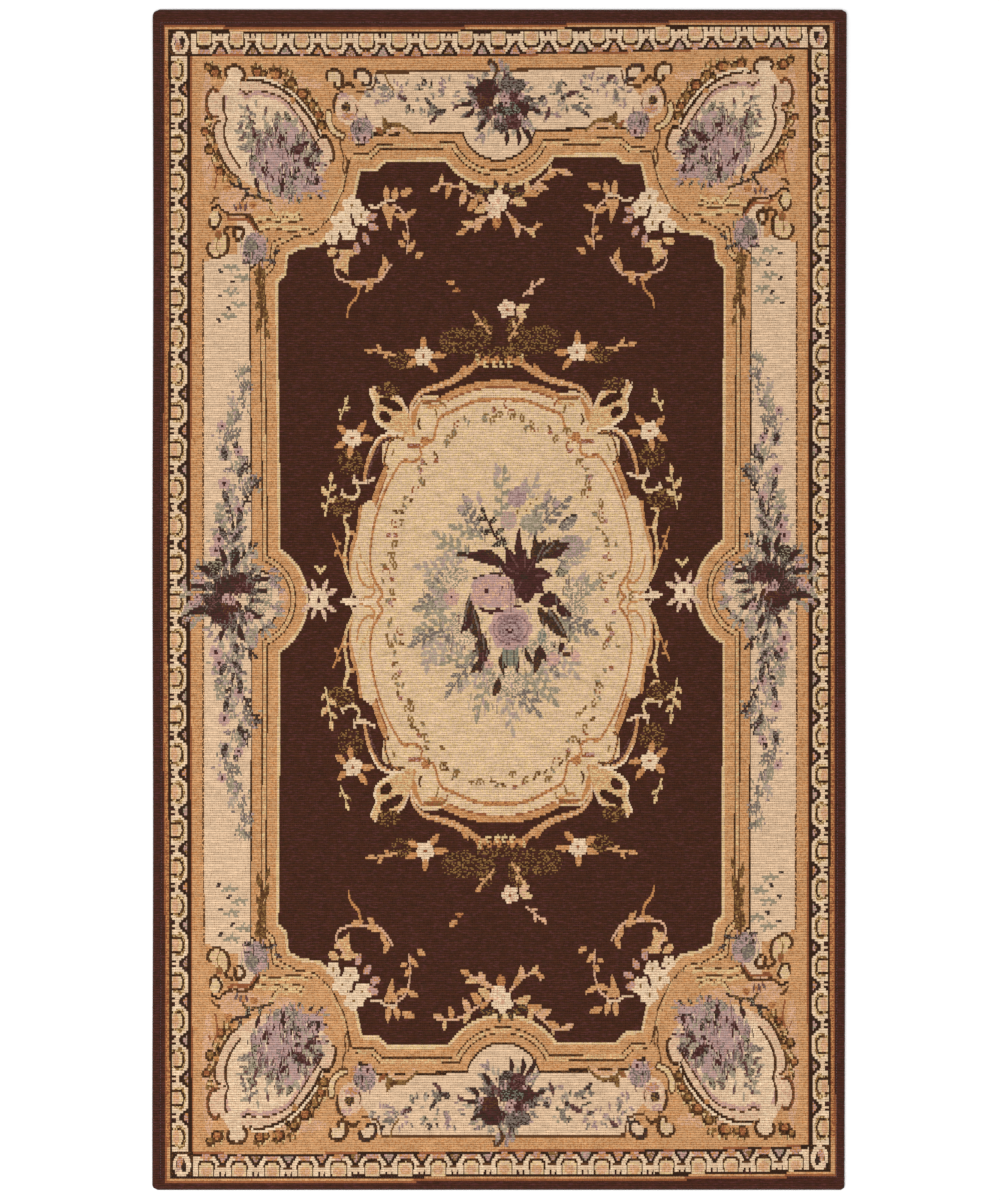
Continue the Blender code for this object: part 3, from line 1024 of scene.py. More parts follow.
@dataclass
class Medallion:
    """The cream oval in its gold frame, with its ears, arms, spears and a garland inside."""

    half_width: float = 142.0
    half_length: float = 221.5
    garland_inset: float = 37.0
    garland_step: float = 5.4

    def oval_ring(self, inset: float) -> np.ndarray:
        """The whole oval at an inset from its outer line, a little squarer than an ellipse."""
        a, b = self.half_width - inset * 0.86, self.half_length - inset
        t = np.linspace(0, 2 * math.pi, 72, endpoint=False)
        c, s = np.cos(t), np.sin(t)
        power = 0.93
        return np.column_stack([a * np.sign(c) * np.abs(c) ** power, b * np.sign(s) * np.abs(s) ** power])

    def weave(self, loom: Loom) -> None:
        """Weaves the frame, the ground, and what lies on it."""
        hand = Hand(loom)
        hand.shape(self.oval_ring(0.0), AMBER, GOLD, share=0.35)
        hand.shape(self.oval_ring(5.6), RUST)
        hand.shape(self.oval_ring(7.2), CREAM, STRAW, share=0.35)
        for quarter in four_hands(loom):
            self.weave_pod(quarter)
            self.weave_lobe(quarter)
            self.weave_ear(quarter)
            self.weave_arms(quarter)
            self.weave_spear(quarter)
        for along in (-1, 1):
            self.weave_beads(Hand(loom, 1, along))
        self.weave_garland(loom)

    def weave_pod(self, hand: Hand) -> None:
        """The cream pod that widens the frame beside a spear."""
        pod = [
            (126, 100), (139.4, 94), (143, 71.6), (148.4, 49.3), (151, 31.5), (148.4, 15), (140, 4),
            (120, 2), (120, 60),
        ]
        hand.pool(pod, CREAM, STRAW, share=0.35)
        hand.curve(
            [(140, 94), (143.2, 71.6), (148.6, 49.3), (151, 31.5), (148, 14)], (3.6, 2.0, 1.6, 2.0), AMBER,
            GOLD,
        )
        hand.curve([(142, 62), (140, 46), (134, 34), (130, 20)], (1.2, 1.6, 1.2), STRAW, AMBER)
        hand.curve([(144, 40), (142, 26), (136, 16), (128, 14), (127, 22)], (1.4, 1.8, 1.4), AMBER)

    def weave_lobe(self, hand: Hand) -> None:
        """The inner line with its lobes, and the scrolled pads between it and the frame."""
        pad = [
            (52, 199), (62, 206), (78, 206), (89, 196), (92, 180), (96, 168), (106, 170), (117, 160),
            (117, 140), (110, 128), (97, 140), (84, 142), (78, 152), (72, 158), (66, 164), (62, 182),
        ]
        hand.pool(pad, CREAM, STRAW, share=0.45)
        inner = [
            (0, 202.5), (14, 202), (28, 199.5), (46, 191), (59, 184.8), (63.6, 174), (66.5, 163),
            (73, 158.5), (79.5, 154), (78.7, 148), (82, 143.4), (88.5, 141.4), (97, 142), (104, 133),
            (115, 112), (123.8, 87), (128.3, 67), (130.5, 45), (128.3, 27), (122.7, 16), (118, 9), (121, 3),
            (124, 0),
        ]
        hand.line(smooth(inner, 4), (2.8, 2.4, 1.8, 2.2, 2.4), AMBER, RUST)
        hand.curve([(51.6, 207), (60, 203), (69, 202.5), (78.7, 201.5)], (1.8, 1.8), AMBER, RUST)
        hand.curve(
            [(53.8, 194), (54.9, 197.3), (60.3, 201), (69, 201), (77, 200)], (1.4, 2.0, 1.4), RUST, OLIVE
        )
        hand.curve([(58, 197), (64, 196), (72, 195)], (2.4, 3.4), AMBER, STRAW)
        hand.curve([(64.6, 193), (62.5, 186.4)], (1.8, 1.4), OLIVE)
        hand.curve(
            [(80, 200), (85.2, 189), (86.3, 182.5), (89.6, 176), (86.3, 168)], (2.4, 4.4, 5.6, 3.0), AMBER
        )
        hand.curve([(79.8, 184), (82, 178), (79.8, 173.8)], (1.6, 2.0), UMBER)
        hand.spot((75, 161.5), 9, 8.5, AMBER, RUST)
        hand.curve([(91, 156), (81, 157)], (3.4, 2.6), RUST, ROSE)
        hand.curve(
            [
                (97.2, 164), (103.7, 165.4), (110.2, 161), (113.4, 152.4), (115.6, 143.7), (115, 137),
                (112.3, 135),
            ],
            (2.8, 1.6, 2.4), UMBER, AMBER,
        )
        hand.curve([(106, 152), (108, 148)], (1.6, 1.6), OLIVE)

    def weave_ear(self, hand: Hand) -> None:
        """The curled leaf that stands out on a diagonal."""
        leaf = [
            (125.5, 217), (120, 211), (112.3, 210), (104.7, 207.8), (98.2, 203.3), (95.5, 198), (92, 190),
            (88, 178), (88, 166), (98, 167), (108, 171), (114.5, 175.5), (122.1, 181), (126, 189.2),
            (124.6, 198), (127, 205), (129.5, 211),
        ]
        hand.pool(leaf, STRAW, GOLD, share=0.5)
        hand.line(smooth(leaf[:7], 4), (2.2, 2.4, 2.0), CREAM)
        hand.line(smooth(leaf[9:], 4), (2.4, 2.4, 1.6), IVORY, STRAW)
        holes = (
            [
                (119.9, 205.4), (112.3, 205.4), (104.7, 202.1), (97.4, 195), (101.5, 191.4), (109.1, 194.6),
                (115.6, 198), (120.4, 201),
            ],
            [(118.8, 191), (112.3, 190), (108.6, 184.9), (111.2, 180), (116.7, 182), (120.6, 186)],
        )
        for hole in holes:
            hand.shape(smooth(hole, 3, closed=True), BROWN, BLACK)
        hand.curve([(127, 212), (130, 214)], (1.6, 1.2), CREAM)

    def weave_arms(self, hand: Hand) -> None:
        """The scrolled arms that leave an ear, along the end and along the side."""
        upper = [
            (89.6, 186), (88.5, 197.3), (84.1, 204.9), (77.6, 211.4), (69, 214.6), (58.1, 218), (47.3, 222),
            (39.7, 227), (31, 231.7), (23.4, 237.8), (15, 240.8),
        ]
        hand.line(smooth([(x + 0.5, y - 3.4) for x, y in upper[1:5]], 4), (2.6, 2.2), BROWN)
        hand.line(smooth(upper, 4), (3.2, 3.4, 5.2, 6.4, 3.0), GOLD, AMBER)
        hand.line(smooth(upper[:8], 4), (1.6, 1.8, 1.4), CREAM)
        hand.leaf((40, 228), 125, 12, 4.5, AMBER, GOLD)
        hand.leaf((26, 236), 118, 17, 4.5, AMBER, RUST)
        hand.leaf((21, 238), 82, 15, 3.6, STRAW, OLIVE)
        hand.curve([(44, 217), (52, 213.5), (62, 212)], (1.4, 2.2, 1.2), BROWN)
        strand = [
            (93, 168.5), (104, 168.6), (112, 167.6), (121.6, 161.5), (129.4, 148.5), (134, 135), (136, 122)
        ]
        hand.line(smooth([(x - 3.2, y - 2.2) for x, y in strand[2:]], 4), (2.4, 3.0, 1.4), BROWN, PLUM)
        hand.line(smooth(strand, 4), (3.2, 3.4, 4.0, 2.4), GOLD, AMBER)
        hand.curve([(97, 169.8), (112, 169), (122.6, 163), (130.6, 149)], (1.4, 1.6, 1.0), IVORY)
        hand.curve([(146.5, 121), (138, 119.5), (131, 122), (126, 124)], (3.0, 2.8, 2.0), CREAM)
        hand.curve([(146, 126), (147, 120)], (2.0, 2.0), CREAM)
        hand.curve(
            [(143.9, 118.5), (141.7, 109.6), (148.4, 104), (159.5, 107.5)], (1.8, 2.4, 3.2, 2.8), STRAW,
            CREAM,
        )
        hand.curve([(158, 112), (160, 106)], (2.0, 2.0), CREAM)
        hand.curve([(154, 101), (149.5, 92.5), (152, 87), (157.3, 85)], (3.4, 3.0, 1.8), STRAW, GOLD)
        hand.curve(
            [(156.5, 81), (152.8, 70), (155, 56), (156.4, 40.4), (154, 27), (147, 12)],
            (2.4, 3.6, 2.6, 3.4, 2.6, 2.0), STRAW, GOLD,
        )
        hand.curve([(152, 69), (146, 67), (149.6, 52), (150.8, 30)], (2.0, 2.6, 1.6), GOLD, AMBER)
        hand.leaf((151, 66), 55, 9, 4, STRAW, CREAM)

    def weave_spear(self, hand: Hand) -> None:
        """Half of the spear in the middle of a side."""
        hand.shape(
            [(161, 0.6), (152, 3.6), (147, 2.4), (140, 2.0), (124, 1.6), (124, -0.5), (161, -0.5)], IVORY,
            CREAM,
        )
        hand.leaf((140, 3), 52, 13, 5, CREAM, STRAW)
        hand.leaf((136, 3), 95, 12, 4, STRAW, CREAM)
        hand.curve([(150, 5), (146, 10), (140, 12), (138, 7)], (1.4, 2.2, 1.6), CREAM)
        hand.curve([(136, 4.4), (129, 6), (126, 12), (130, 16)], (1.4, 1.6, 1.0), AMBER)

    def weave_beads(self, hand: Hand) -> None:
        """The small curls between the arms at an end."""
        for x, y in ((-13, 243.5), (-3.5, 243), (10, 243), (18, 242)):
            hand.curl((x, y), 4.0, 200, 0.9, 2.4, AMBER)
        for x in (-12, -3, 4, 12):
            hand.curl((x, 237), 4.2, 110, 0.6, 2.0, STRAW)
        hand.stipple((4, 250), 60, 9)

    def weave_garland(self, loom: Loom) -> None:
        """The ring of tiny flowers and leaves just inside the oval."""
        rng = np.random.default_rng(SEED + 2)
        hand = Hand(loom)
        ring = self.oval_ring(self.garland_inset)
        run = np.concatenate([[0], np.cumsum(np.hypot(*np.diff(np.vstack([ring, ring[:1]]), axis=0).T))])
        for step in np.arange(0, run[-1], self.garland_step):
            i = min(int(np.searchsorted(run, step, side="right")) - 1, len(ring) - 1)
            t = (step - run[i]) / (run[i + 1] - run[i])
            x, y = ring[i] * (1 - t) + ring[(i + 1) % len(ring)] * t + rng.normal(0, 4.6, 2)
            pick = rng.random()
            if pick < 0.36:
                ink = (RUST, ROSE) if rng.random() < 0.4 else (OLIVE, SAGE)
                hand.blossom((x, y), 3.6, 5, CREAM, STRAW, heart=ink[0], heart_size=0.34)
                start = int(rng.integers(0, 8))
                hand.line(oval((x, y), 7.4, 7.4)[start : start + 9], (1.3, 1.3), ink[0])
            elif pick < 0.5:
                hand.spot((x, y), 5.0, 4.2, RUST, ROSE, share=0.4)
            else:
                ink = (SAGE, OLIVE) if pick < 0.85 else (OLIVE, UMBER)
                hand.leaf((x, y), rng.integers(0, 360), 7.0, 2.6, *ink, share=0.5)


@dataclass
class MiddleBouquet:
    """The bouquet in the middle of the medallion."""

    lily: Point = (23.5, 22.0)
    rose: Point = (10.0, -29.0)

    def weave(self, loom: Loom) -> None:
        """Weaves the pale leaves first, then the dark ones, then the flowers."""
        hand = Hand(loom)
        rng = np.random.default_rng(SEED + 3)
        self.weave_haze(hand, rng)
        self.weave_crown(hand)
        self.weave_dark(hand)
        self.weave_flowers(hand, rng)

    def weave_haze(self, hand: Hand, rng: np.random.Generator) -> None:
        """The pale feathery leaves that fade into the ground."""
        sprigs = (
            (-30, 44, 150, 36), (-40, 30, 175, 38), (-46, 6, 190, 34), (-38, -14, 205, 42),
            (-30, -34, 215, 44),
            (-22, -52, 230, 46), (-8, -66, 250, 48), (4, -72, 268, 56), (14, -70, 285, 46),
            (30, -64, 305, 42),
            (48, -44, 320, 38), (58, -20, 345, 32), (62, 4, 10, 30), (58, 30, 35, 34), (-18, 62, 125, 38),
            (2, 70, 95, 56), (20, 76, 75, 44), (34, 66, 55, 42), (-50, -8, 170, 26), (-62, -30, 240, 34),
        )
        pairs = ((SAGE, MIST), (MIST, LILAC), (SLATE, MIST))
        for number, (x, y, heading, length) in enumerate(sprigs):
            pair = pairs[number % 3]
            hand.sprig((x, y), heading, length, *pair, leaves=8, size=12, bend=rng.uniform(-25, 25))
            side = heading + rng.choice((-34, 34))
            hand.sprig((x, y), side, length * 0.7, *pairs[(number + 1) % 3], leaves=6, size=10)
        for x, y, width, height in (
            (-44, 26, 26, 16), (-50, 20, 18, 16), (68, 50, 28, 26), (74, 8, 22, 16), (74, -10, 24, 18),
            (-36, -28, 30, 34), (40, -52, 34, 26), (4, -84, 40, 26),
        ):
            hand.spot((x, y), width, height, CREAM, SAGE, share=0.42)
        hand.streaks((0, -88), 92, 70, 56, rng, MIST, SAGE, SLATE, LILAC)
        hand.streaks((4, 0), 168, 150, 130, rng, SAGE, MIST, LILAC, SLATE)

    def weave_crown(self, hand: Hand) -> None:
        """The small lilac and yellow flowers at the top."""
        hand.leaves(
            (
                (1, 126, 120, 14), (-6, 122, 60, 10), (-27, 98, 150, 14), (-20, 96, 100, 14),
                (-34, 94, 190, 10), (43, 98, 60, 14), (52, 92, 40, 10),
            ),
            LILAC, MIST, width=5.5, share=0.4,
        )
        hand.blossom((17, 103), 10, 6, LILAC, MAUVE, heart=MAUVE, heart_size=0.2)
        hand.leaf((20, 108), 65, 16, 6, LILAC, MIST)
        for x, y in ((30, 96), (17, 88), (26, 90), (36, 100)):
            hand.blossom((x, y), 6, 5, STRAW, CREAM, heart=OLIVE, heart_size=0.18)
        hand.spot((8, 80), 17, 18, ROSE, MIST, share=0.45)
        hand.spot((31, 76), 22, 16, SAGE, MIST, share=0.45)
        hand.spot((70, 52), 26, 22, LILAC, SAGE, share=0.5)
        hand.leaf((58, 68), 38, 24, 11, SLATE, MIST, share=0.4)
        hand.curve([(58, 70), (66, 80), (76, 83)], (1.6, 1.4), PINE)
        hand.curve([(8, 50), (-5, 64), (-11, 76), (-16, 86)], (2.4, 1.8), PINE, MAROON)
        hand.leaves(
            (
                (-6, 66, 30, 12), (-8, 70, 190, 12), (-12, 78, 20, 10), (-14, 80, 160, 10),
                (-16, 86, 110, 9), (2, 58, 200, 12), (6, 54, 120, 12),
            ),
            PINE, SAGE, width=5, share=0.35,
        )

    def weave_dark(self, hand: Hand) -> None:
        """The dark lily and the dark leaves about it."""
        x, y = self.lily
        leaves = (
            (x - 18, y + 12, 165, 44, 13), (x - 20, y + 6, 190, 34, 7), (x - 28, y + 18, 140, 18, 6),
            (x + 2, y + 6, 98, 46, 8), (x + 6, y + 8, 84, 36, 8), (x + 10, y + 14, 62, 26, 15),
            (x + 16, y + 24, 20, 32, 14), (x + 20, y + 30, -5, 26, 9), (x + 16, y + 20, 45, 26, 9),
            (x + 14, y - 24, -4, 24, 14), (x + 24, y - 32, -58, 36, 13), (x + 14, y - 30, -75, 22, 8),
            (x + 32, y - 30, -30, 18, 8), (-30, 6, 255, 28, 9), (-28, -8, 285, 34, 13),
            (-30, -14, 240, 20, 8),
            (-18, -34, 275, 26, 12), (-14, -46, 200, 16, 8), (-12, -48, 250, 26, 9), (-22, -60, 235, 16, 6),
            (4, -50, 268, 26, 7), (12, -50, 280, 24, 6), (24, -48, 300, 20, 5), (36, -48, 262, 28, 8),
            (38, -46, 300, 18, 7), (-2, -78, 250, 20, 8), (60, -56, 10, 14, 5), (58, -54, 60, 12, 5),
            (-34, 48, 200, 12, 5),
        )
        for number, (root_x, root_y, heading, length, width) in enumerate(leaves):
            pair = (PINE, UMBER) if number % 3 else (MAROON, PINE)
            hand.leaf((root_x, root_y), heading, length, width, *pair, bend=0.09 if number % 2 else -0.09)
            if width > 8:
                tip = turned(np.array([[3.0, 0.0], [length * 0.8, 0.0]]), (root_x, root_y), heading)
                hand.line(tip, (0.9, 0.8), SLATE)
        for heading, length, width in (
            (120, 36, 15), (150, 28, 14), (2, 28, 16), (-40, 26, 14), (-85, 26, 20), (-120, 24, 16),
            (60, 26, 12), (88, 30, 10),
        ):
            hand.leaf(self.lily, heading, length, width, MAROON, bend=0.06)
            fold = turned(np.array([[6.0, 0.0], [length * 0.8, 0.0]]), self.lily, heading)
            hand.line(fold, (0.9, 0.7), PLUM)
        hand.spot(self.lily, 8, 7, PINE, MAROON)
        hand.spot((x + 1, y - 2), 3.5, 3.0, CREAM)
        hand.spot((10, -56), 16, 20, TEAL, SAGE, share=0.4)
        for step in range(5):
            hand.line([(3 + step * 3.4, -46), (2 + step * 3.6, -68)], (1.4, 1.0), PINE if step % 2 else TEAL)
        hand.leaf((42, -30), 260, 16, 9, TEAL, MIST, share=0.4)
        hand.leaf((54, 26), 0, 14, 9, SAGE, PINE)

    def weave_flowers(self, hand: Hand, rng: np.random.Generator) -> None:
        """The pink roses and the small pink flowers."""
        hand.pool(
            [(-28, 18), (-14, 24), (2, 22), (12, 12), (14, 0), (2, -6), (-14, -6), (-26, 4)], ROSE, LILAC,
            share=0.4,
        )
        for x, y, radius, heart in (
            (-14, 9, 12, 0.26), (2, 12, 11, 0.12), (6, 2, 9, 0.12), (-22, 2, 8, 0.1)
        ):
            hand.blossom(
                (x, y), radius, 6, ROSE, BLUSH, heart=MAROON, heart_size=heart, start=rng.uniform(0, 60)
            )
        hand.curve([(-20, -9), (-10, -12), (-3, -10), (6, -12), (14, -7), (20, -6)], (2.0, 2.6, 1.6), MAROON)
        x, y = self.rose
        hand.blossom(self.rose, 21, 8, ROSE, LILAC, heart=MAUVE, heart_size=0.62)
        hand.spot((x + 1, y - 1), 25, 22, LILAC, MAUVE, share=0.45)
        for reach, start, sweep in (
            (17, 20, 120), (17, 160, 110), (17, 290, 80), (12, 60, 150), (12, 230, 120), (8, 0, 150),
            (8, 180, 120),
        ):
            t = np.radians(start + np.linspace(0, sweep, 9))
            hand.line(
                np.column_stack([x + reach * np.cos(t), y + reach * 0.85 * np.sin(t)]), (1.0, 1.2, 0.8),
                MAUVE, PLUM,
            )
        hand.spot((x - 1, y - 1), 8.5, 6.5, MAROON)
        hand.spot((x - 1, y - 1), 3.0, 2.4, ROSE)
        hand.blossoms(
            ((-49, 3, 8), (52, -60, 7), (10, 0, 5), (-12, -64, 5), (74, -58, 5)), 5, ROSE, BLUSH,
            heart=MAROON, heart_size=0.24,
        )
        hand.streaks((-2, 4), 50, 34, 16, rng, PLUM, LILAC)
        hand.streaks((60, -20), 40, 80, 26, rng, PINE, SLATE)
        hand.streaks((-30, -40), 46, 60, 24, rng, PLUM, SLATE)


@dataclass
class EndSprays:
    """The dark bouquet in the middle of each end panel and the sprays to either side of it."""

    seed: int = SEED + 4

    def weave(self, loom: Loom) -> None:
        """Weaves the sprays on both ends."""
        for along in (-1, 1):
            rng = np.random.default_rng(self.seed)
            whole = Hand(loom, 1, along)
            self.weave_sprays(whole, rng)
            for across in (-1, 1):
                self.weave_cluster(Hand(loom, across, along))
            self.weave_middle(whole, rng)

    def weave_sprays(self, hand: Hand, rng: np.random.Generator) -> None:
        """The loose sprays of grey and olive leaves."""
        grey = (SLATE, MIST, SAGE, PINE)
        lilac = (LILAC, SLATE, MIST, MAUVE)
        patches = (
            (-71, 515, 16, 20, grey), (-71, 497, 12, 22, grey), (-50, 512, 14, 24, lilac),
            (-103, 514, 26, 20, lilac),
            (-89, 500, 18, 14, grey), (60, 510, 14, 22, grey), (71, 500, 24, 14, grey),
            (95, 517, 26, 16, lilac),
            (48, 492, 22, 18, lilac), (110, 512, 12, 18, lilac), (-120, 506, 20, 16, lilac),
            (124, 502, 18, 18, lilac),
        )
        for x, y, width, height, yarns in patches:
            hand.tufts((x, y), width, height, round(width * height / 26), rng, 6.0, *yarns)
        leaves = (
            (-52, 493, 190, 14, 6), (-46, 492, 30, 12, 3), (-66, 500, 250, 16, 4), (-74, 506, 300, 14, 4),
            (-90, 504, 150, 12, 4),
            (-108, 516, 170, 14, 4), (-118, 520, 120, 10, 3), (-62, 488, 230, 12, 4), (58, 506, 70, 16, 6),
            (46, 504, 200, 8, 5),
            (66, 502, 25, 16, 5), (70, 494, 330, 16, 6), (80, 488, 320, 12, 4), (106, 518, 30, 12, 4),
            (84, 490, 10, 8, 4),
            (92, 510, 160, 10, 3), (50, 494, 250, 16, 4), (114, 510, 280, 12, 4), (124, 514, 60, 10, 3),
        )
        for number, (x, y, heading, length, width) in enumerate(leaves):
            pair = ((PINE, SLATE), (PLUM, PINE), (SLATE, SAGE))[number % 3]
            hand.leaf((x, y), heading, length, width, *pair, bend=0.1, share=0.35)
        hand.curve([(-113, 531), (-110, 522), (-104, 514)], (1.6, 1.2), OLIVE, UMBER)

    def weave_cluster(self, hand: Hand) -> None:
        """The small lilac cluster and the leaf scroll where an end panel meets the corner."""
        rng = np.random.default_rng(self.seed + 10)
        hand.spot((137, 474), 22, 24, LILAC, SLATE, share=0.45)
        hand.streaks((137, 474), 26, 30, 22, rng, PLUM, ROSE, SAGE, PINE)
        hand.blossom((134, 465), 6, 5, ROSE, LILAC, heart=MAROON, heart_size=0.3)
        hand.curve([(85, 467), (92, 474), (100, 478), (110, 476), (118, 470)], (2.2, 3.2, 2.2), OLIVE, UMBER)
        hand.curve([(88, 466), (96, 472), (106, 472), (114, 467)], (3.4, 3.8, 2.0), GOLD, BLUSH)
        hand.leaf((112, 474), 75, 13, 6, OLIVE, UMBER)
        hand.leaf((104, 477), 20, 10, 4, UMBER, OLIVE)
        hand.leaf((116, 470), 40, 10, 5, RUST, OLIVE)

    def weave_middle(self, hand: Hand, rng: np.random.Generator) -> None:
        """The dark bouquet."""
        hand.tufts((2, 498), 76, 72, 90, rng, 10.0, SLATE, MIST, SAGE, LILAC)
        for heading in range(10, 370, 24):
            root = beside((2, 498), 12.0, heading)
            hand.leaf(
                root, heading + rng.uniform(-12, 12), rng.uniform(16, 26), 6, SLATE, PINE, bend=0.08,
                share=0.4,
            )
        blobs = (
            (-12, 511, 24, 22, MAROON, PINE), (-14, 500, 20, 12, MAROON, UMBER),
            (16, 501, 16, 18, MAROON, PLUM),
            (24, 492, 12, 18, MAROON, PINE), (8, 492, 24, 12, PINE, TEAL), (14, 480, 18, 17, MAROON, PLUM),
            (-8, 488, 12, 10, PLUM, PINE), (2, 474, 12, 9, PINE, SLATE), (14, 518, 22, 12, SLATE, PINE),
        )
        for x, y, width, height, first, second in blobs:
            shape = oval((x, y), width, height, 12) + rng.normal(0, 1.3, (12, 2))
            hand.shape(shape, first, second, share=0.35)
        hand.blossoms(
            ((6, 505, 5.5), (8, 499, 4.5), (22, 505, 4), (0, 484, 4), (22, 484, 3.5), (-22, 497, 3.5)), 5,
            ROSE, LILAC, heart=MAROON, heart_size=0.2,
        )
        hand.leaves(
            (
                (-26, 500, 190, 12), (-24, 494, 225, 14), (30, 492, -20, 13), (18, 472, 275, 18),
                (22, 474, 300, 22), (-14, 482, 240, 14), (8, 470, 265, 16), (-20, 512, 160, 14),
            ),
            PINE, MAROON, width=5, bend=0.1, share=0.35,
        )
        hand.streaks((4, 496), 50, 50, 34, rng, MAROON, PLUM, SLATE)
        hand.curve([(-5, 525), (-1, 533), (-5, 540), (-9, 542), (-10, 538)], (1.6, 2.8, 2.4), UMBER, PINE)
        hand.curve([(5, 524), (6, 532)], (1.4, 2.0), PLUM)


@dataclass
class SideSprays:
    """The dark bouquet in the middle of each side panel and the long sprays that leave it."""

    seed: int = SEED + 5

    def weave(self, loom: Loom) -> None:
        """Weaves the sprays on both sides."""
        for across in (-1, 1):
            for along in (-1, 1):
                side = Hand(loom, across, along)
                self.weave_long(side)
                self.weave_upper(side)
            self.weave_middle(Hand(loom, across, 1))

    def weave_long(self, hand: Hand) -> None:
        """The spray that runs up the panel and grows fainter as it goes."""
        rng = np.random.default_rng(self.seed)
        for step in range(12):
            y = 38 + step * 17
            x = 266 + 9 * math.sin(step * 1.1)
            dark = (PINE, SLATE) if step < 7 else (SLATE, SAGE)
            pale = ((MIST, LILAC), (SLATE, MIST), (SAGE, MIST))[step % 3]
            size = 1.0 - step * 0.045
            hand.sprig((x, y), 90 + 34 * math.sin(step * 1.9), 24 * size, *pale, leaves=7, size=10 * size)
            hand.sprig(
                (x - 6, y + 5), 110 + 30 * math.cos(step * 1.7), 16 * size, *dark, leaves=4, size=8 * size
            )
            count = round(16 * size)
            hand.tufts((x, y + 4), 34 * size, 24, count, rng, 7 * size, MIST, SAGE, SLATE, LILAC)
        hand.blossoms(
            ((284, 51, 7), (281, 62, 6.5), (262, 92, 5.5), (276, 118, 6), (262, 150, 4.5), (278, 176, 4.5)),
            5, ROSE, LILAC, heart=MAROON, heart_size=0.26,
        )
        hand.leaves(
            (
                (266, 40, 100), (268, 60, 130), (274, 62, 60), (262, 78, 100), (272, 98, 70),
                (262, 124, 110), (274, 142, 75),
            ),
            PINE, SLATE, length=15, width=6, share=0.4,
        )

    def weave_upper(self, hand: Hand) -> None:
        """The lilac cluster and leafy stem where a side panel meets the corner."""
        rng = np.random.default_rng(self.seed + 10)
        hand.spot((244, 355), 24, 30, LILAC, SLATE, share=0.45)
        hand.streaks((243, 353), 32, 36, 34, rng, ROSE, SAGE, PINE, LILAC)
        hand.spot((238, 363), 10, 8, ROSE, LILAC)
        hand.spot((248, 358), 13, 12, SLATE, SAGE)
        hand.leaves(
            ((232, 344, 195), (240, 343, 170), (256, 350, 190), (258, 342, 185), (226, 350, 150)), PINE,
            SLATE, length=10, width=3,
        )
        hand.leaves(
            (
                (246, 332, 200, 14, 7), (238, 338, 260, 14, 6), (244, 326, 230, 14, 7),
                (236, 322, 275, 14, 6), (242, 314, 240, 16, 8), (238, 304, 300, 12, 6),
                (236, 298, 255, 18, 6), (240, 286, 280, 16, 5), (234, 276, 250, 12, 4),
            ),
            UMBER, OLIVE, share=0.45,
        )
        hand.curve([(240, 342), (240, 318), (237, 296), (239, 270)], (1.8, 1.2), UMBER)
        for x, y in ((276, 337), (264, 327), (276, 312), (268, 300), (278, 288)):
            hand.sprig((x, y), 190, 12, SAGE, MIST, leaves=4, size=6)
            hand.leaf((x + 6, y - 4), 200, 6, 2.4, PINE, SLATE)

    def weave_middle(self, hand: Hand) -> None:
        """The dark bouquet, which laps over the bands."""
        rng = np.random.default_rng(self.seed + 20)
        hand.tufts((268, 2), 92, 92, 130, rng, 10.0, SLATE, MIST, SAGE, LILAC)
        hand.spot((242, 4), 26, 34, CREAM, SAGE, share=0.5)
        for heading in range(0, 360, 24):
            root = beside((268, 3), 14.0, heading)
            hand.leaf(root, heading + rng.uniform(-14, 14), rng.uniform(16, 27), 7, SLATE, PINE, share=0.45)
        blobs = (
            (266, 20, 26, 16, MAROON, PINE), (258, 12, 26, 12, MAROON, PLUM),
            (276, 12, 22, 16, PINE, MAROON),
            (280, -12, 28, 20, MAROON, PINE), (286, -2, 20, 14, PINE, PLUM),
            (270, -6, 20, 12, MAROON, UMBER),
            (274, -22, 20, 10, MAROON, SLATE), (284, 34, 14, 16, PINE, SAGE), (266, 46, 10, 16, PINE, TEAL),
        )
        for x, y, width, height, first, second in blobs:
            shape = oval((x, y), width, height, 12) + rng.normal(0, 1.6, (12, 2))
            hand.shape(shape, first, second, share=0.35)
        hand.leaves(
            (
                (250, 20, 170, 20, 6), (246, 12, 190, 16, 5), (256, -8, 205, 20, 7), (292, -10, -6, 20, 9),
                (270, 32, 110, 20, 7), (276, 34, 75, 22, 6), (288, 24, 40, 20, 7), (292, 12, 10, 18, 5),
                (262, -24, 250, 18, 6), (276, -28, 285, 14, 5),
            ),
            PINE, MAROON, bend=0.1,
        )
        hand.blossoms(
            ((274, 2, 6), (269, 0, 4.5), (302, 4, 4), (308, -2, 3.5), (252, -16, 5), (298, 20, 3.5)), 5,
            ROSE, LILAC, heart=PLUM, heart_size=0.25,
        )
        hand.curve([(262, -8), (270, 0), (276, 6)], (1.4, 1.8), ROSE, LILAC)
        hand.streaks((270, 4), 62, 60, 50, rng, MAROON, PLUM, SLATE)


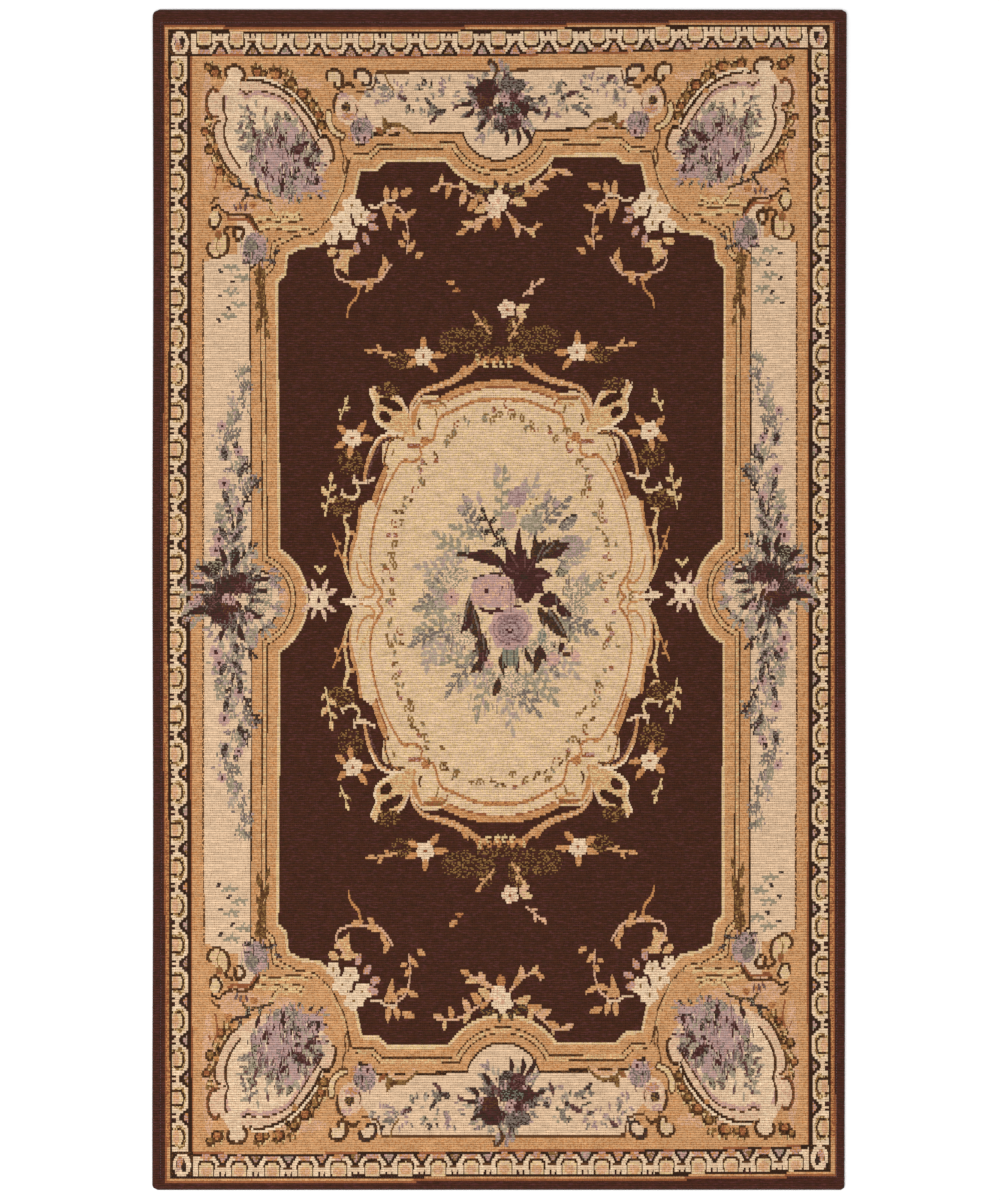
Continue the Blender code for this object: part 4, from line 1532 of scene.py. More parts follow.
@dataclass
class FieldSprays:
    """The sprays on the brown field: at its corners, under the dips, and round the medallion."""

    def weave(self, loom: Loom) -> None:
        """Weaves them all."""
        for hand in four_hands(loom):
            self.weave_shadows(hand)
            self.weave_corner(hand)
            self.weave_round(hand)
        for along in (-1, 1):
            self.weave_dip(Hand(loom, 1, along))
            self.weave_top(Hand(loom, 1, along))
        for across in (-1, 1):
            self.weave_side(Hand(loom, across, 1))

    def weave_shadows(self, hand: Hand) -> None:
        """The dotted shadows behind the sprays."""
        for place, width, height in (
            ((40, 262), 40, 26), ((96, 244), 30, 18), ((150, 140), 26, 26), ((160, 96), 30, 20),
            ((16, 270), 20, 30), ((112, 214), 24, 16),
        ):
            hand.stipple(place, width, height)

    def weave_corner(self, hand: Hand) -> None:
        """The cream flowers on the frame's corner and the gold sprays under them."""
        gold = (GOLD, AMBER)
        hand.blossoms(
            ((147, 397, 9.5), (138, 387, 9), (158, 381, 10), (150, 371, 8.5), (167, 366, 7)), 5, IVORY,
            CREAM, heart=OLIVE, heart_size=0.14,
        )
        hand.leaves(
            ((131, 378, 200), (136, 370, 240), (144, 361, 250), (133, 384, 160)), ROSE, AMBER, length=12,
            width=6.5,
        )
        hand.curve([(130, 397), (122, 396), (114, 401), (104, 402)], (1.8, 1.6), CREAM)
        hand.leaves(
            (
                (112, 402, 85, 15), (105, 403, 100, 12), (99, 408, 160, 14), (112, 399, 262, 26),
                (116, 398, 240, 18), (104, 398, 300, 15),
            ),
            *gold, width=6.5,
        )
        hand.curve([(105, 398), (96, 390), (91, 372), (92, 350)], (1.6, 1.4), BLUSH)
        hand.leaves(
            (
                (94, 386, 150, 14), (92, 384, 20, 14), (90, 364, 50, 10), (92, 352, 130, 14),
                (84, 346, 150, 10), (94, 358, 30, 8),
            ),
            *gold, width=5,
        )
        hand.leaves(
            (
                (160, 352, 185, 18), (158, 348, 250, 20), (152, 352, 280, 16), (166, 344, 215, 18),
                (172, 350, 160, 12), (150, 346, 320, 14),
            ),
            GOLD, STRAW, width=7,
        )
        hand.curve(
            [(156, 350), (164, 336), (160, 326), (146, 322), (128, 322), (118, 326), (108, 340)], (1.6, 1.6),
            BLUSH,
        )
        hand.leaves(
            (
                (150, 322, 200, 14), (134, 322, 165, 14), (120, 326, 110, 16), (112, 336, 70, 14),
                (126, 320, 320, 10),
            ),
            *gold, width=5.5,
        )
        hand.curve([(140, 320), (142, 308), (150, 298), (152, 288)], (2.4, 1.4), AMBER)

    def weave_round(self, hand: Hand) -> None:
        """The flowers about the medallion, in one quarter."""
        for place, angle, lean in (((76, 248), 20, 90), ((148, 164), 60, 40)):
            hand.blossom(place, 9.5, 5, IVORY, CREAM, heart=RUST, start=angle, heart_size=0.22)
            for turn, length in (
                (lean + 90, 15), (lean - 70, 13), (lean + 140, 14), (lean - 120, 12), (lean, 12)
            ):
                root = beside(place, 8.0, turn)
                hand.leaf(root, turn, length, 6, AMBER, GOLD)
        hand.sprig((104, 250), 10, 22, GOLD, AMBER, leaves=3, size=9)
        hand.sprig((176, 86), 100, 34, STRAW, GOLD, leaves=5, size=11)
        hand.sprig((168, 66), 250, 30, AMBER, GOLD, leaves=4, size=8)
        hand.sprig((160, 184), 110, 16, STRAW, OLIVE, leaves=3, size=8)

    def weave_dip(self, hand: Hand) -> None:
        """The spray that hangs under the dip of an end."""
        twigs = (
            ((-10, 396), (-24, 404), (-40, 414), (-56, 417), (-66, 414)),
            ((12, 398), (28, 408), (40, 418), (52, 428), (64, 427)),
            ((-8, 386), (-20, 378), (-34, 372)),
            ((8, 388), (20, 376), (34, 370), (38, 378)),
        )
        for twig in twigs:
            hand.curve(twig, (2.0, 1.4), BLUSH, GOLD)
        leaves = (
            (-12, 396, 215, 15, 8), (-22, 402, 230, 15, 8), (-34, 410, 250, 15, 7), (-32, 410, 120, 12, 6),
            (-50, 416, 255, 14, 6),
            (-58, 416, 200, 12, 5), (-56, 417, 95, 10, 4), (-14, 400, 140, 10, 5), (-18, 380, 240, 12, 6),
            (-24, 377, 165, 14, 6),
            (-32, 373, 210, 12, 5), (-12, 384, 200, 14, 6), (14, 400, -20, 15, 8), (24, 405, 0, 16, 8),
            (34, 412, -10, 15, 7),
            (30, 408, 100, 12, 6), (44, 420, 20, 14, 6), (58, 427, -20, 14, 5), (50, 426, 80, 8, 3),
            (12, 384, -70, 14, 6),
            (18, 377, -90, 14, 6), (28, 372, -50, 12, 5), (34, 371, 30, 10, 4),
        )
        for number, (x, y, heading, length, width) in enumerate(leaves):
            pair = ((GOLD, STRAW), (AMBER, GOLD), (GOLD, BLUSH))[number % 3]
            hand.leaf((x, y), heading, length, width, *pair, bend=0.08, share=0.4)
        hand.leaves(
            ((-8, 408, 150), (6, 410, 60), (-2, 411, 100), (10, 407, 30), (-14, 408, 170), (16, 404, 20)),
            PINE, OLIVE, length=10, width=5, share=0.35,
        )
        hand.blossom((0, 400), 10.5, 5, IVORY, CREAM, heart=BLUSH, heart_size=0.2)
        hand.blossom((-4, 391), 8.5, 5, IVORY, BLUSH, heart=CREAM)
        hand.leaf((-1, 384), 262, 12, 9, AMBER, RUST)

    def weave_top(self, hand: Hand) -> None:
        """The small flower above the medallion and its leaves."""
        hand.blossom((8, 293), 8.5, 5, IVORY, BLUSH, heart=RUST, start=100, heart_size=0.24)
        hand.leaf((17, 292), 15, 14, 6, STRAW, BLUSH)
        hand.leaf((17, 290), -28, 12, 5.5, BLUSH, STRAW)
        hand.sprig((24, 306), 40, 18, BLUSH, GOLD, leaves=3, size=8)
        hand.leaf((-44, 318), 150, 10, 5, AMBER, GOLD)
        hand.leaf((-38, 312), 180, 9, 3.5, AMBER, RUST)
        hand.sprig((-8, 268), 130, 20, GOLD, AMBER, leaves=3, size=8)
        hand.sprig((10, 262), 60, 20, GOLD, STRAW, leaves=3, size=8)

    def weave_side(self, hand: Hand) -> None:
        """The cream flower between the medallion's spear and the bulge of a side."""
        hand.blossom((183, 1), 10, 6, IVORY, CREAM, heart=MAROON, start=30, heart_size=0.2)
        for heading in (35, 70, 115, 150, 215, 250, 290, 325):
            root = beside((183, 1), 9.0, heading)
            hand.leaf(root, heading, 13, 4.5, CREAM, ROSE)
        hand.line([(176, 34), (181, 28), (186, 34)], (2.4, 2.4), STRAW)


@dataclass(frozen=True)
class RugSize:
    """The rug's own sizes, as its solid has them, in metres."""

    width: float = 0.882
    length: float = 1.500
    side_hem: float = 0.0105
    end_hem: float = 0.0168
    corner_radii: Colour = (0.0090, 0.0065, 0.0070, 0.0045)
    profile_reach: tuple[float, ...] = (0.0, 0.0011, 0.0047, 0.0087, 0.0105, 0.0125)
    profile_height: tuple[float, ...] = (0.0024, 0.0045, 0.0052, 0.0047, 0.0031, 0.0038)
    rim_insets: tuple[float, ...] = (0.0003, 0.0013)
    rim_heights: tuple[float, ...] = (0.0009, 0.0)

    def pull(self, t: np.ndarray, lean: float, depth: float, waves: float, start: float) -> np.ndarray:
        """How far a side lies inside the straight line, from its start at 0 to its end at 1."""
        fine = np.linspace(0, 1, 31)
        shape = lean * fine + depth * (0.5 - 0.5 * np.cos(2 * math.pi * (waves * fine + start)))
        return np.interp(t, fine, shape - shape.min())

    def sides(self, y: np.ndarray) -> tuple[np.ndarray, np.ndarray]:
        """The left and the right edge at heights along the rug, with the corners' rounding.

        Args:
            y: Places along the rug.

        Returns:
            The two edges' places across it.
        """
        t = np.clip(0.5 - y / self.length, 0, 1)
        left = -self.width / 2 + self.pull(t, -0.0004, 0.0009, 2.0, 0.10)
        right = self.width / 2 - self.pull(t, 0.0019, 0.0009, 1.5, 0.0)
        for sign, radii in ((1, self.corner_radii[:2]), (-1, self.corner_radii[2:])):
            for side, radius in enumerate(radii):
                past = np.clip(sign * y - (self.length / 2 - radius), 0, radius)
                cut = radius - np.sqrt(np.maximum(radius**2 - past**2, 0))
                left = left + (cut if side == 0 else 0)
                right = right - (cut if side == 1 else 0)
        return left, right

    def end_pull(self, x: np.ndarray, y: np.ndarray) -> np.ndarray:
        """How far a point near an end moves along the rug, where the end isn't straight."""
        t = np.clip(0.5 + x / self.width, 0, 1)
        near = np.clip((np.abs(y) - (self.length / 2 - 0.03)) / 0.03, 0, 1)
        top = -self.pull(t, 0.0003, 0.0007, 1.0, 0.35)
        bottom = self.pull(t, -0.0003, 0.0007, 1.5, 0.15)
        return np.where(y > 0, top, bottom) * near

    def height(self, x: np.ndarray, y: np.ndarray, left: np.ndarray, right: np.ndarray) -> np.ndarray:
        """The cloth's height at points of its face, over the hem and the field."""
        aside = np.minimum(x - left, right - x)
        along = self.length / 2 - np.abs(y)
        reach = np.where(
            aside / self.side_hem < along / self.end_hem, aside, along * self.side_hem / self.end_hem
        )
        return np.interp(reach, self.profile_reach, self.profile_height)


@dataclass
class Cloth:
    """The woven rug: its face weft by weft, its rounded edge and its flat back."""

    size: RugSize
    loom: Loom
    def __post_init__(self) -> None:
        """Sets up the lists that the mesh is made from."""
        self.points: list[tuple[float, float, float]] = []
        self.pick_at: list[float] = []
        self.lines: list[np.ndarray] = []
        self.firsts: list[int] = []

    def line_places(self) -> np.ndarray:
        """Where each line between two wefts runs, with the beat of the loom a little uneven."""
        rng = np.random.default_rng(SEED + 6)
        steps = 1 + rng.normal(0, 0.05, self.loom.picks)
        slow = np.convolve(
            rng.normal(0, 1, self.loom.picks + 60), np.ones(61) / 61, mode="valid"
        )[: self.loom.picks]
        steps = steps * (1 + 0.15 * slow)
        run = np.concatenate([[0], np.cumsum(steps)])
        return (run / run[-1] - 0.5) * self.size.length

    def boundaries(self, row: int) -> np.ndarray:
        """The ends at which a weft changes its yarn."""
        return np.flatnonzero(np.diff(self.loom.chart[row])) + 1

    def lay_lines(self) -> None:
        """Makes every line's points, with one wherever a yarn changes above or below it."""
        places = self.line_places()
        cuts = [self.boundaries(row) for row in range(self.loom.picks)]
        lefts, rights = self.size.sides(places)
        scale = self.size.width / self.loom.ends
        for k, y in enumerate(places):
            near = [cuts[row] for row in (k - 1, k) if 0 <= row < self.loom.picks]
            turns = np.unique(np.concatenate(near)) * scale - self.size.width / 2
            reach = np.array(self.size.profile_reach)
            rim = np.concatenate([lefts[k] + reach, (rights[k] - reach)[::-1]])
            inner = turns[(turns > lefts[k] + reach[-1]) & (turns < rights[k] - reach[-1])]
            x = np.sort(np.concatenate([rim, inner]))
            z = self.size.height(x, np.full_like(x, y), lefts[k], rights[k])
            moved = y + self.size.end_pull(x, np.full_like(x, y))
            self.firsts.append(len(self.points))
            self.lines.append(x)
            self.points += list(zip(x, moved, z))
            self.pick_at += [k] * len(x)

    def sew_row(self, row: int) -> Iterator[tuple[tuple[int, ...], int]]:
        """The faces of one weft.

        Args:
            row: The weft's number, from the bottom.

        Yields:
            A face's points, and its mix of yarns.
        """
        low, high = self.lines[row], self.lines[row + 1]
        a, b = self.firsts[row], self.firsts[row + 1]
        scale = self.loom.ends / self.size.width
        i = j = 0
        near = 0.0002
        chart = self.loom.chart[row]
        last = self.loom.ends - 1
        while i < len(low) - 1 or j < len(high) - 1:
            step_low = i < len(low) - 1 and (j == len(high) - 1 or low[i + 1] <= high[j + 1] + near)
            step_high = j < len(high) - 1 and (i == len(low) - 1 or high[j + 1] <= low[i + 1] + near)
            mid = (low[min(i + 1, len(low) - 1)] + low[i] + high[j] + high[min(j + 1, len(high) - 1)]) / 4
            if step_low and step_high:
                face = (a + i, a + i + 1, b + j + 1, b + j)
                i, j = i + 1, j + 1
            elif step_low:
                mid = (low[i] + low[i + 1]) / 2
                face = (a + i, a + i + 1, b + j)
                i += 1
            else:
                mid = (high[j] + high[j + 1]) / 2
                face = (a + i, b + j + 1, b + j)
                j += 1
            end = min(max(int((mid + self.size.width / 2) * scale), 0), last)
            yield face, int(chart[end])

    def rim_loop(self) -> list[int]:
        """The points of the cloth's outermost loop, counter-clockwise seen from above."""
        first, last = self.lines[0], self.lines[-1]
        ends = [start + len(line) - 1 for start, line in zip(self.firsts, self.lines)]
        bottom = list(range(len(first)))
        top = list(range(self.firsts[-1], self.firsts[-1] + len(last)))[::-1]
        return bottom + ends[1:-1] + top + self.firsts[1:-1][::-1]

    def turn_under(self, loop: list[int]) -> tuple[list[list[int]], np.ndarray]:
        """Adds the rings of points that take the edge down to the floor.

        Args:
            loop: The face's outermost points.

        Returns:
            The rings from the top one down, and the way out at each of their points.
        """
        p = np.array([self.points[i] for i in loop])
        step = np.roll(p, -1, axis=0) - np.roll(p, 1, axis=0)
        out = np.column_stack([step[:, 1], -step[:, 0]])
        out /= np.linalg.norm(out, axis=1)[:, None]
        rings = [loop]
        for inset, height in zip(self.size.rim_insets, self.size.rim_heights):
            flat = p[:, :2] - out * inset
            rings.append(list(range(len(self.points), len(self.points) + len(loop))))
            self.points += [(x, y, height) for x, y in flat]
            self.pick_at += [self.pick_at[i] for i in loop]
        return rings, out

    def build(self, face: bpy.types.Material, back: bpy.types.Material) -> bpy.types.Object:
        """Makes the cloth as one closed mesh.

        Args:
            face: The finish of the woven face.
            back: The finish of the underside.

        Returns:
            The rug's cloth.
        """
        self.lay_lines()
        sewn = [made for row in range(self.loom.picks) for made in self.sew_row(row)]
        faces = [corners for corners, _ in sewn]
        mixes = [mix for _, mix in sewn]
        top_faces = len(faces)
        rings, out = self.turn_under(self.rim_loop())
        for upper, lower in zip(rings, rings[1:]):
            for i in range(len(upper)):
                j = (i + 1) % len(upper)
                faces.append((lower[i], lower[j], upper[j], upper[i]))
        faces.append(tuple(rings[-1][::-1]))
        plain = self.loom.mix_of((MARGIN,), 0.0)
        mixes += [plain] * (len(faces) - top_faces)
        mesh = bpy.data.meshes.new("rug_cloth")
        mesh.from_pydata(self.points, [], faces)
        mesh.materials.append(face)
        mesh.materials.append(back)
        mesh.polygons[len(faces) - 1].material_index = 1
        self.dye(mesh, mixes)
        self.unfold(mesh, top_faces, rings, out)
        LOG.info("rug_cloth: %d wefts, %d faces", self.loom.picks, len(faces))
        return place_piece("rug_cloth", mesh)

    def dye(self, mesh: bpy.types.Mesh, mixes: Sequence[int]) -> None:
        """Stores each face's yarns, and each point's place in the run of the picks."""
        colours = [(*a.linear(), 1.0) for a, _, _ in self.loom.mixes]
        seconds = [(*b.linear(), share) for _, b, share in self.loom.mixes]
        for name, table in (("yarn", colours), ("second", seconds)):
            layer = mesh.attributes.new(name, "FLOAT_COLOR", "FACE")
            layer.data.foreach_set("color", np.array(table, np.float32)[np.array(mixes)].ravel())
        pick = mesh.attributes.new("pick", "FLOAT", "POINT")
        pick.data.foreach_set("value", np.array(self.pick_at, np.float32))

    def unfold(self, mesh: bpy.types.Mesh, top_faces: int, rings: list[list[int]], out: np.ndarray) -> None:
        """Lays the face and the underside side by side on the map that a bake uses.

        Args:
            mesh: The cloth.
            top_faces: How many faces the woven face has.
            rings: The rings of the edge, from the top one down.
            out: The way out at each point of a ring.
        """
        half, gap = 0.5, 0.01
        scale = (half - 2 * gap) / self.size.width
        flat = np.array(self.points)[:, :2]
        under = flat.copy()
        for ring in rings[:-1]:
            under[ring] += out * np.array([self.points[i][2] for i in ring])[:, None]
        corner_points = np.zeros(len(mesh.loops), np.int32)
        mesh.loops.foreach_get("vertex_index", corner_points)
        top_corners = mesh.polygons[top_faces].loop_start
        uv = under[corner_points] * (-1, 1) * scale + (0.75, 0.5)
        uv[:top_corners] = flat[corner_points[:top_corners]] * scale + (0.25, 0.5)
        layer = mesh.uv_layers.new(name="OFBake")
        layer.data.foreach_set("uv", uv.astype(np.float32).ravel())


def place_piece(name: str, mesh: bpy.types.Mesh) -> bpy.types.Object:
    """Puts a mesh into the scene as a piece of its own."""
    piece = bpy.data.objects.new(name, mesh)
    bpy.context.scene.collection.objects.link(piece)
    return piece


@dataclass
class HemStitches:
    """The line of stitches that holds the turned-under hem, in its groove round the rug."""

    size: RugSize
    pitch: float = 0.0036
    length: float = 0.0029
    width: float = 0.0009
    sink: float = 0.0002
    height: float = 0.0034
    rise: float = 0.0006

    def runs(self) -> Iterator[tuple[np.ndarray, np.ndarray]]:
        """The stitch line along each side and end.

        Yields:
            Places along the line, and the direction of the line.
        """
        y_end = self.size.length / 2 - self.size.end_hem
        y = np.arange(-y_end, y_end, self.pitch)
        left, right = self.size.sides(y)
        for x in (left + self.size.side_hem, right - self.size.side_hem):
            yield np.column_stack([x, y]), np.array([0.0, 1.0])
        x_end = self.size.width / 2 - self.size.side_hem - 0.002
        x = np.arange(-x_end, x_end, self.pitch)
        for sign in (-1, 1):
            y = np.full_like(x, sign * y_end)
            yield np.column_stack([x, y + self.size.end_pull(x, y)]), np.array([1.0, 0.0])

    def build(self, thread: bpy.types.Material) -> bpy.types.Object:
        """Makes all the stitches as one mesh.

        Args:
            thread: The stitches' finish.

        Returns:
            The stitches.
        """
        rng = np.random.default_rng(SEED + 7)
        points: list[tuple[float, float, float]] = []
        faces: list[tuple[int, ...]] = []
        for places, along in self.runs():
            aside = np.array([-along[1], along[0]])
            for place in places:
                middle = place + rng.normal(0, 0.0002, 2)
                ends = [middle - along * self.length / 2, middle + along * self.length / 2]
                flanks = [middle - aside * self.width / 2, middle + aside * self.width / 2]
                first = len(points)
                points += [(*ends[0], self.height - self.sink), (*flanks[0], self.height)]
                points += [(*ends[1], self.height - self.sink), (*flanks[1], self.height)]
                points += [(*middle, self.height + self.rise), (*middle, self.height - self.rise)]
                for a, b in ((0, 1), (1, 2), (2, 3), (3, 0)):
                    faces.append((first + a, first + b, first + 4))
                    faces.append((first + b, first + a, first + 5))
        mesh = bpy.data.meshes.new("hem_stitches")
        mesh.from_pydata(points, [], faces)
        mesh.materials.append(thread)
        LOG.info("hem_stitches: %d stitches", len(points) // 6)
        return place_piece("hem_stitches", mesh)


class Nodes:
    """A short way to write a material's nodes."""

    def __init__(self, name: str) -> None:
        """Starts an empty material with a shader of its own."""
        self.material = bpy.data.materials.new(name)
        self.material.use_nodes = True
        self.tree = self.material.node_tree
        self.shader = self.tree.nodes["Principled BSDF"]

    def join(self, value: object, socket: Socket) -> None:
        """Links a socket to another, or sets its value."""
        if isinstance(value, Socket):
            self.tree.links.new(value, socket)
        elif value is not None:
            socket.default_value = value

    def math(self, operation: str, *values: object) -> Socket:
        """One sum.

        Args:
            operation: The node's operation, such as ADD.
            values: Its numbers or sockets.

        Returns:
            Its result.
        """
        node = self.tree.nodes.new("ShaderNodeMath")
        node.operation = operation
        for value, socket in zip(values, node.inputs):
            self.join(value, socket)
        return node.outputs[0]

    def vector(self, x: object, y: object, z: object = 0.0) -> Socket:
        """A vector of three numbers or sockets."""
        node = self.tree.nodes.new("ShaderNodeCombineXYZ")
        for value, socket in zip((x, y, z), node.inputs):
            self.join(value, socket)
        return node.outputs[0]

    def attribute(self, name: str, output: str) -> Socket:
        """A value stored on the mesh."""
        node = self.tree.nodes.new("ShaderNodeAttribute")
        node.attribute_name = name
        return node.outputs[output]

    def place(self) -> tuple[Socket, Socket]:
        """Where a point lies on the cloth, across and along, in metres."""
        where = self.tree.nodes.new("ShaderNodeTexCoord")
        split = self.tree.nodes.new("ShaderNodeSeparateXYZ")
        self.tree.links.new(where.outputs["Object"], split.inputs[0])
        return split.outputs[0], split.outputs[1]

    def white(self, vector: Socket) -> Socket:
        """A random number for each whole step of a vector."""
        node = self.tree.nodes.new("ShaderNodeTexWhiteNoise")
        node.noise_dimensions = "3D"
        self.tree.links.new(vector, node.inputs["Vector"])
        return node.outputs["Value"]

    def noise(self, vector: Socket, scale: float, detail: float = 2.0) -> Socket:
        """Cloudy noise from 0 to 1."""
        node = self.tree.nodes.new("ShaderNodeTexNoise")
        self.tree.links.new(vector, node.inputs["Vector"])
        node.inputs["Scale"].default_value = scale
        node.inputs["Detail"].default_value = detail
        return node.outputs["Fac"]

    def bump(
        self, height: object, distance: float, strength: float, normal: object = None
    ) -> Socket:
        """A relief in the normal, on top of another where one is given.

        Args:
            height: The height, from 0 to 1.
            distance: How high 1 stands, in metres.
            strength: How strongly it shows.
            normal: The normal that it is laid on.

        Returns:
            The normal with the relief.
        """
        node = self.tree.nodes.new("ShaderNodeBump")
        node.inputs["Strength"].default_value = strength
        node.inputs["Distance"].default_value = distance
        self.join(height, node.inputs["Height"])
        self.join(normal, node.inputs["Normal"])
        return node.outputs[0]

    def mixed(self, share: object, first: object, second: object, blend: str = "MIX") -> Socket:
        """Two colours mixed.

        Args:
            share: How much of the second shows.
            first: A colour or a socket.
            second: A colour or a socket.
            blend: How they mix.

        Returns:
            The mixed colour.
        """
        node = self.tree.nodes.new("ShaderNodeMix")
        node.data_type = "RGBA"
        node.blend_type = blend
        colours = [socket for socket in node.inputs if socket.type == "RGBA"]
        for value, socket in ((share, node.inputs[0]), (first, colours[0]), (second, colours[1])):
            self.join(value, socket)
        return next(socket for socket in node.outputs if socket.type == "RGBA")

    def ranged(self, value: object, low: float, high: float, to_low: float, to_high: float) -> Socket:
        """A number taken from one range to another, and kept inside it."""
        node = self.tree.nodes.new("ShaderNodeMapRange")
        for number, socket in zip((value, low, high, to_low, to_high), node.inputs):
            self.join(number, socket)
        return node.outputs[0]


@dataclass(frozen=True)
class ChenilleFinish:
    """The woven face: furry yarns in ribs, with specks of the yarns beneath, and painted shade in the
    grooves between the wefts.
    """

    light: float = 1.0
    tuft: float = 0.0019
    bind: float = 0.0028
    # Painted shade: the factor on the colour at the deepest of the grooves between the wefts.
    groove: float = 0.62
    rib_height: float = 0.0004
    fibre_height: float = 0.0004
    roughness: float = 0.95
    sheen: float = 0.1
    purple: Colour = (0.092, 0.026, 0.026, 1.0)
    olive: Colour = (0.040, 0.016, 0.006, 1.0)
    speck: Colour = (0.42, 0.30, 0.20, 1.0)

    def make(self) -> bpy.types.Material:
        """Makes the material.

        Returns:
            The finish of the rug's face.
        """
        n = Nodes("chenille_face")
        across, along = n.place()
        pick = n.attribute("pick", "Fac")
        half_pick = n.math("FLOOR", n.math("MULTIPLY", pick, 2.0))
        tuft = n.math("FLOOR", n.math("DIVIDE", across, self.tuft))
        grain = n.white(n.vector(tuft, half_pick))
        second = n.math("LESS_THAN", grain, n.attribute("second", "Alpha"))
        colour = n.mixed(second, n.attribute("yarn", "Color"), n.attribute("second", "Color"))
        colour = self.mottled(n, colour, across, pick)
        colour = self.speckled(n, colour, across, pick)
        colour = self.shaded(n, colour, across, pick)
        n.join(colour, n.shader.inputs["Base Color"])
        n.shader.inputs["Roughness"].default_value = self.roughness
        n.shader.inputs["Sheen Weight"].default_value = self.sheen
        n.shader.inputs["Specular IOR Level"].default_value = 0.1
        off = n.math("SUBTRACT", n.math("FRACT", pick), 0.5)
        rib = n.math("MULTIPLY", n.math("POWER", n.math("ABSOLUTE", off), 2.0), -4.0)
        fibre = n.noise(n.vector(n.math("MULTIPLY", across, 0.5), along), 1400.0)
        normal = n.bump(rib, self.rib_height, 1.0)
        n.join(n.bump(fibre, self.fibre_height, 0.5, normal), n.shader.inputs["Normal"])
        return n.material

    def mottled(self, n: Nodes, colour: Socket, across: Socket, pick: Socket) -> Socket:
        """Adds purple and olive streaks to dark yarn.

        Args:
            n: The material's nodes.
            colour: The yarn's colour.
            across: The place across the rug.
            pick: The place in the run of the picks.

        Returns:
            The streaky colour.
        """
        tone = n.tree.nodes.new("ShaderNodeRGBToBW")
        n.join(colour, tone.inputs[0])
        dark = n.ranged(tone.outputs[0], 0.025, 0.06, 1.0, 0.0)
        dark = n.math("MULTIPLY", dark, n.ranged(tone.outputs[0], 0.015, 0.022, 0.0, 1.0))
        weft = n.math("FLOOR", n.math("MULTIPLY", pick, 2.0))
        for number, streak in enumerate((self.purple, self.olive)):
            place = n.vector(n.math("MULTIPLY", across, 130.0), n.math("MULTIPLY", weft, 1.3), 10.0 * number)
            share = n.ranged(n.noise(place, 1.0), 0.5, 0.66, 0.0, 0.75)
            colour = n.mixed(n.math("MULTIPLY", share, dark), colour, streak)
        return colour

    def speckled(self, n: Nodes, colour: Socket, across: Socket, pick: Socket) -> Socket:
        """Adds the dark specks where the binding warp shows.

        Args:
            n: The material's nodes.
            colour: The yarn's colour.
            across: The place across the rug.
            pick: The place in the run of the picks.

        Returns:
            The colour with its specks.
        """
        weft = n.math("FLOOR", pick)
        slip = n.white(n.vector(weft, 3.0))
        run = n.math("ADD", n.math("DIVIDE", across, self.bind), n.math("ADD", slip, 1000.0))
        beside = n.math("ABSOLUTE", n.math("SUBTRACT", n.math("FRACT", run), 0.5))
        above = n.math("ABSOLUTE", n.math("SUBTRACT", n.math("FRACT", n.math("ADD", pick, 0.5)), 0.5))
        wide = n.math("POWER", n.math("MULTIPLY", beside, 1.3), 2.0)
        far = n.math("SQRT", n.math("ADD", wide, n.math("POWER", above, 2.0)))
        chance = n.white(n.vector(n.math("FLOOR", run), weft, 7.0))
        share = n.math("MULTIPLY", n.ranged(far, 0.16, 0.40, 1.0, 0.0), n.ranged(chance, 0.2, 0.9, 0.0, 0.9))
        return n.mixed(share, colour, self.speck, "MULTIPLY")

    def shaded(self, n: Nodes, colour: Socket, across: Socket, pick: Socket) -> Socket:
        """Paints shade into the grooves between the wefts, and makes each weft's tone uneven.

        Args:
            n: The material's nodes.
            colour: The colour so far.
            across: The place across the rug.
            pick: The place in the run of the picks.

        Returns:
            The shaded colour.
        """
        weft = n.math("FLOOR", pick)
        long_run = n.noise(n.vector(n.math("MULTIPLY", across, 60.0), n.math("MULTIPLY", weft, 3.7)), 1.0)
        short_run = n.noise(
            n.vector(n.math("MULTIPLY", across, 300.0), n.math("MULTIPLY", pick, 2.3), 5.0), 1.0
        )
        shade = n.math(
            "MULTIPLY", n.ranged(long_run, 0.3, 0.7, 0.84, 1.14), n.ranged(short_run, 0.3, 0.7, 0.80, 1.18)
        )
        # Painted shade in the grooves: the colour darkens towards each weft's edge, down to the groove
        # factor where two wefts meet.
        off = n.math("ABSOLUTE", n.math("SUBTRACT", n.math("FRACT", pick), 0.5))
        groove = n.ranged(off, 0.22, 0.5, 1.0, self.groove)
        shade = n.math("MULTIPLY", n.math("MULTIPLY", shade, groove), self.light)
        return n.mixed(1.0, colour, n.vector(shade, shade, shade), "MULTIPLY")


@dataclass(frozen=True)
class PlainFinish:
    """A plain matt finish of one colour, with a fine weave of its own."""

    name: str
    colour: Colour
    dark: Colour
    rib: float = 0.003
    roughness: float = 0.95

    def make(self) -> bpy.types.Material:
        """Makes the material.

        Returns:
            The finish.
        """
        n = Nodes(self.name)
        across, along = n.place()
        run = n.math("MODULO", n.math("FLOOR", n.math("DIVIDE", across, self.rib)), 2.0)
        pick = n.math("ADD", n.math("DIVIDE", along, self.rib), n.math("MULTIPLY", run, 0.5))
        wave = n.math("ABSOLUTE", n.math("SUBTRACT", n.math("FRACT", pick), 0.5))
        share = n.ranged(wave, 0.1, 0.45, 0.0, 0.7)
        n.join(n.mixed(share, self.colour, self.dark), n.shader.inputs["Base Color"])
        n.shader.inputs["Roughness"].default_value = self.roughness
        n.shader.inputs["Specular IOR Level"].default_value = 0.1
        return n.material


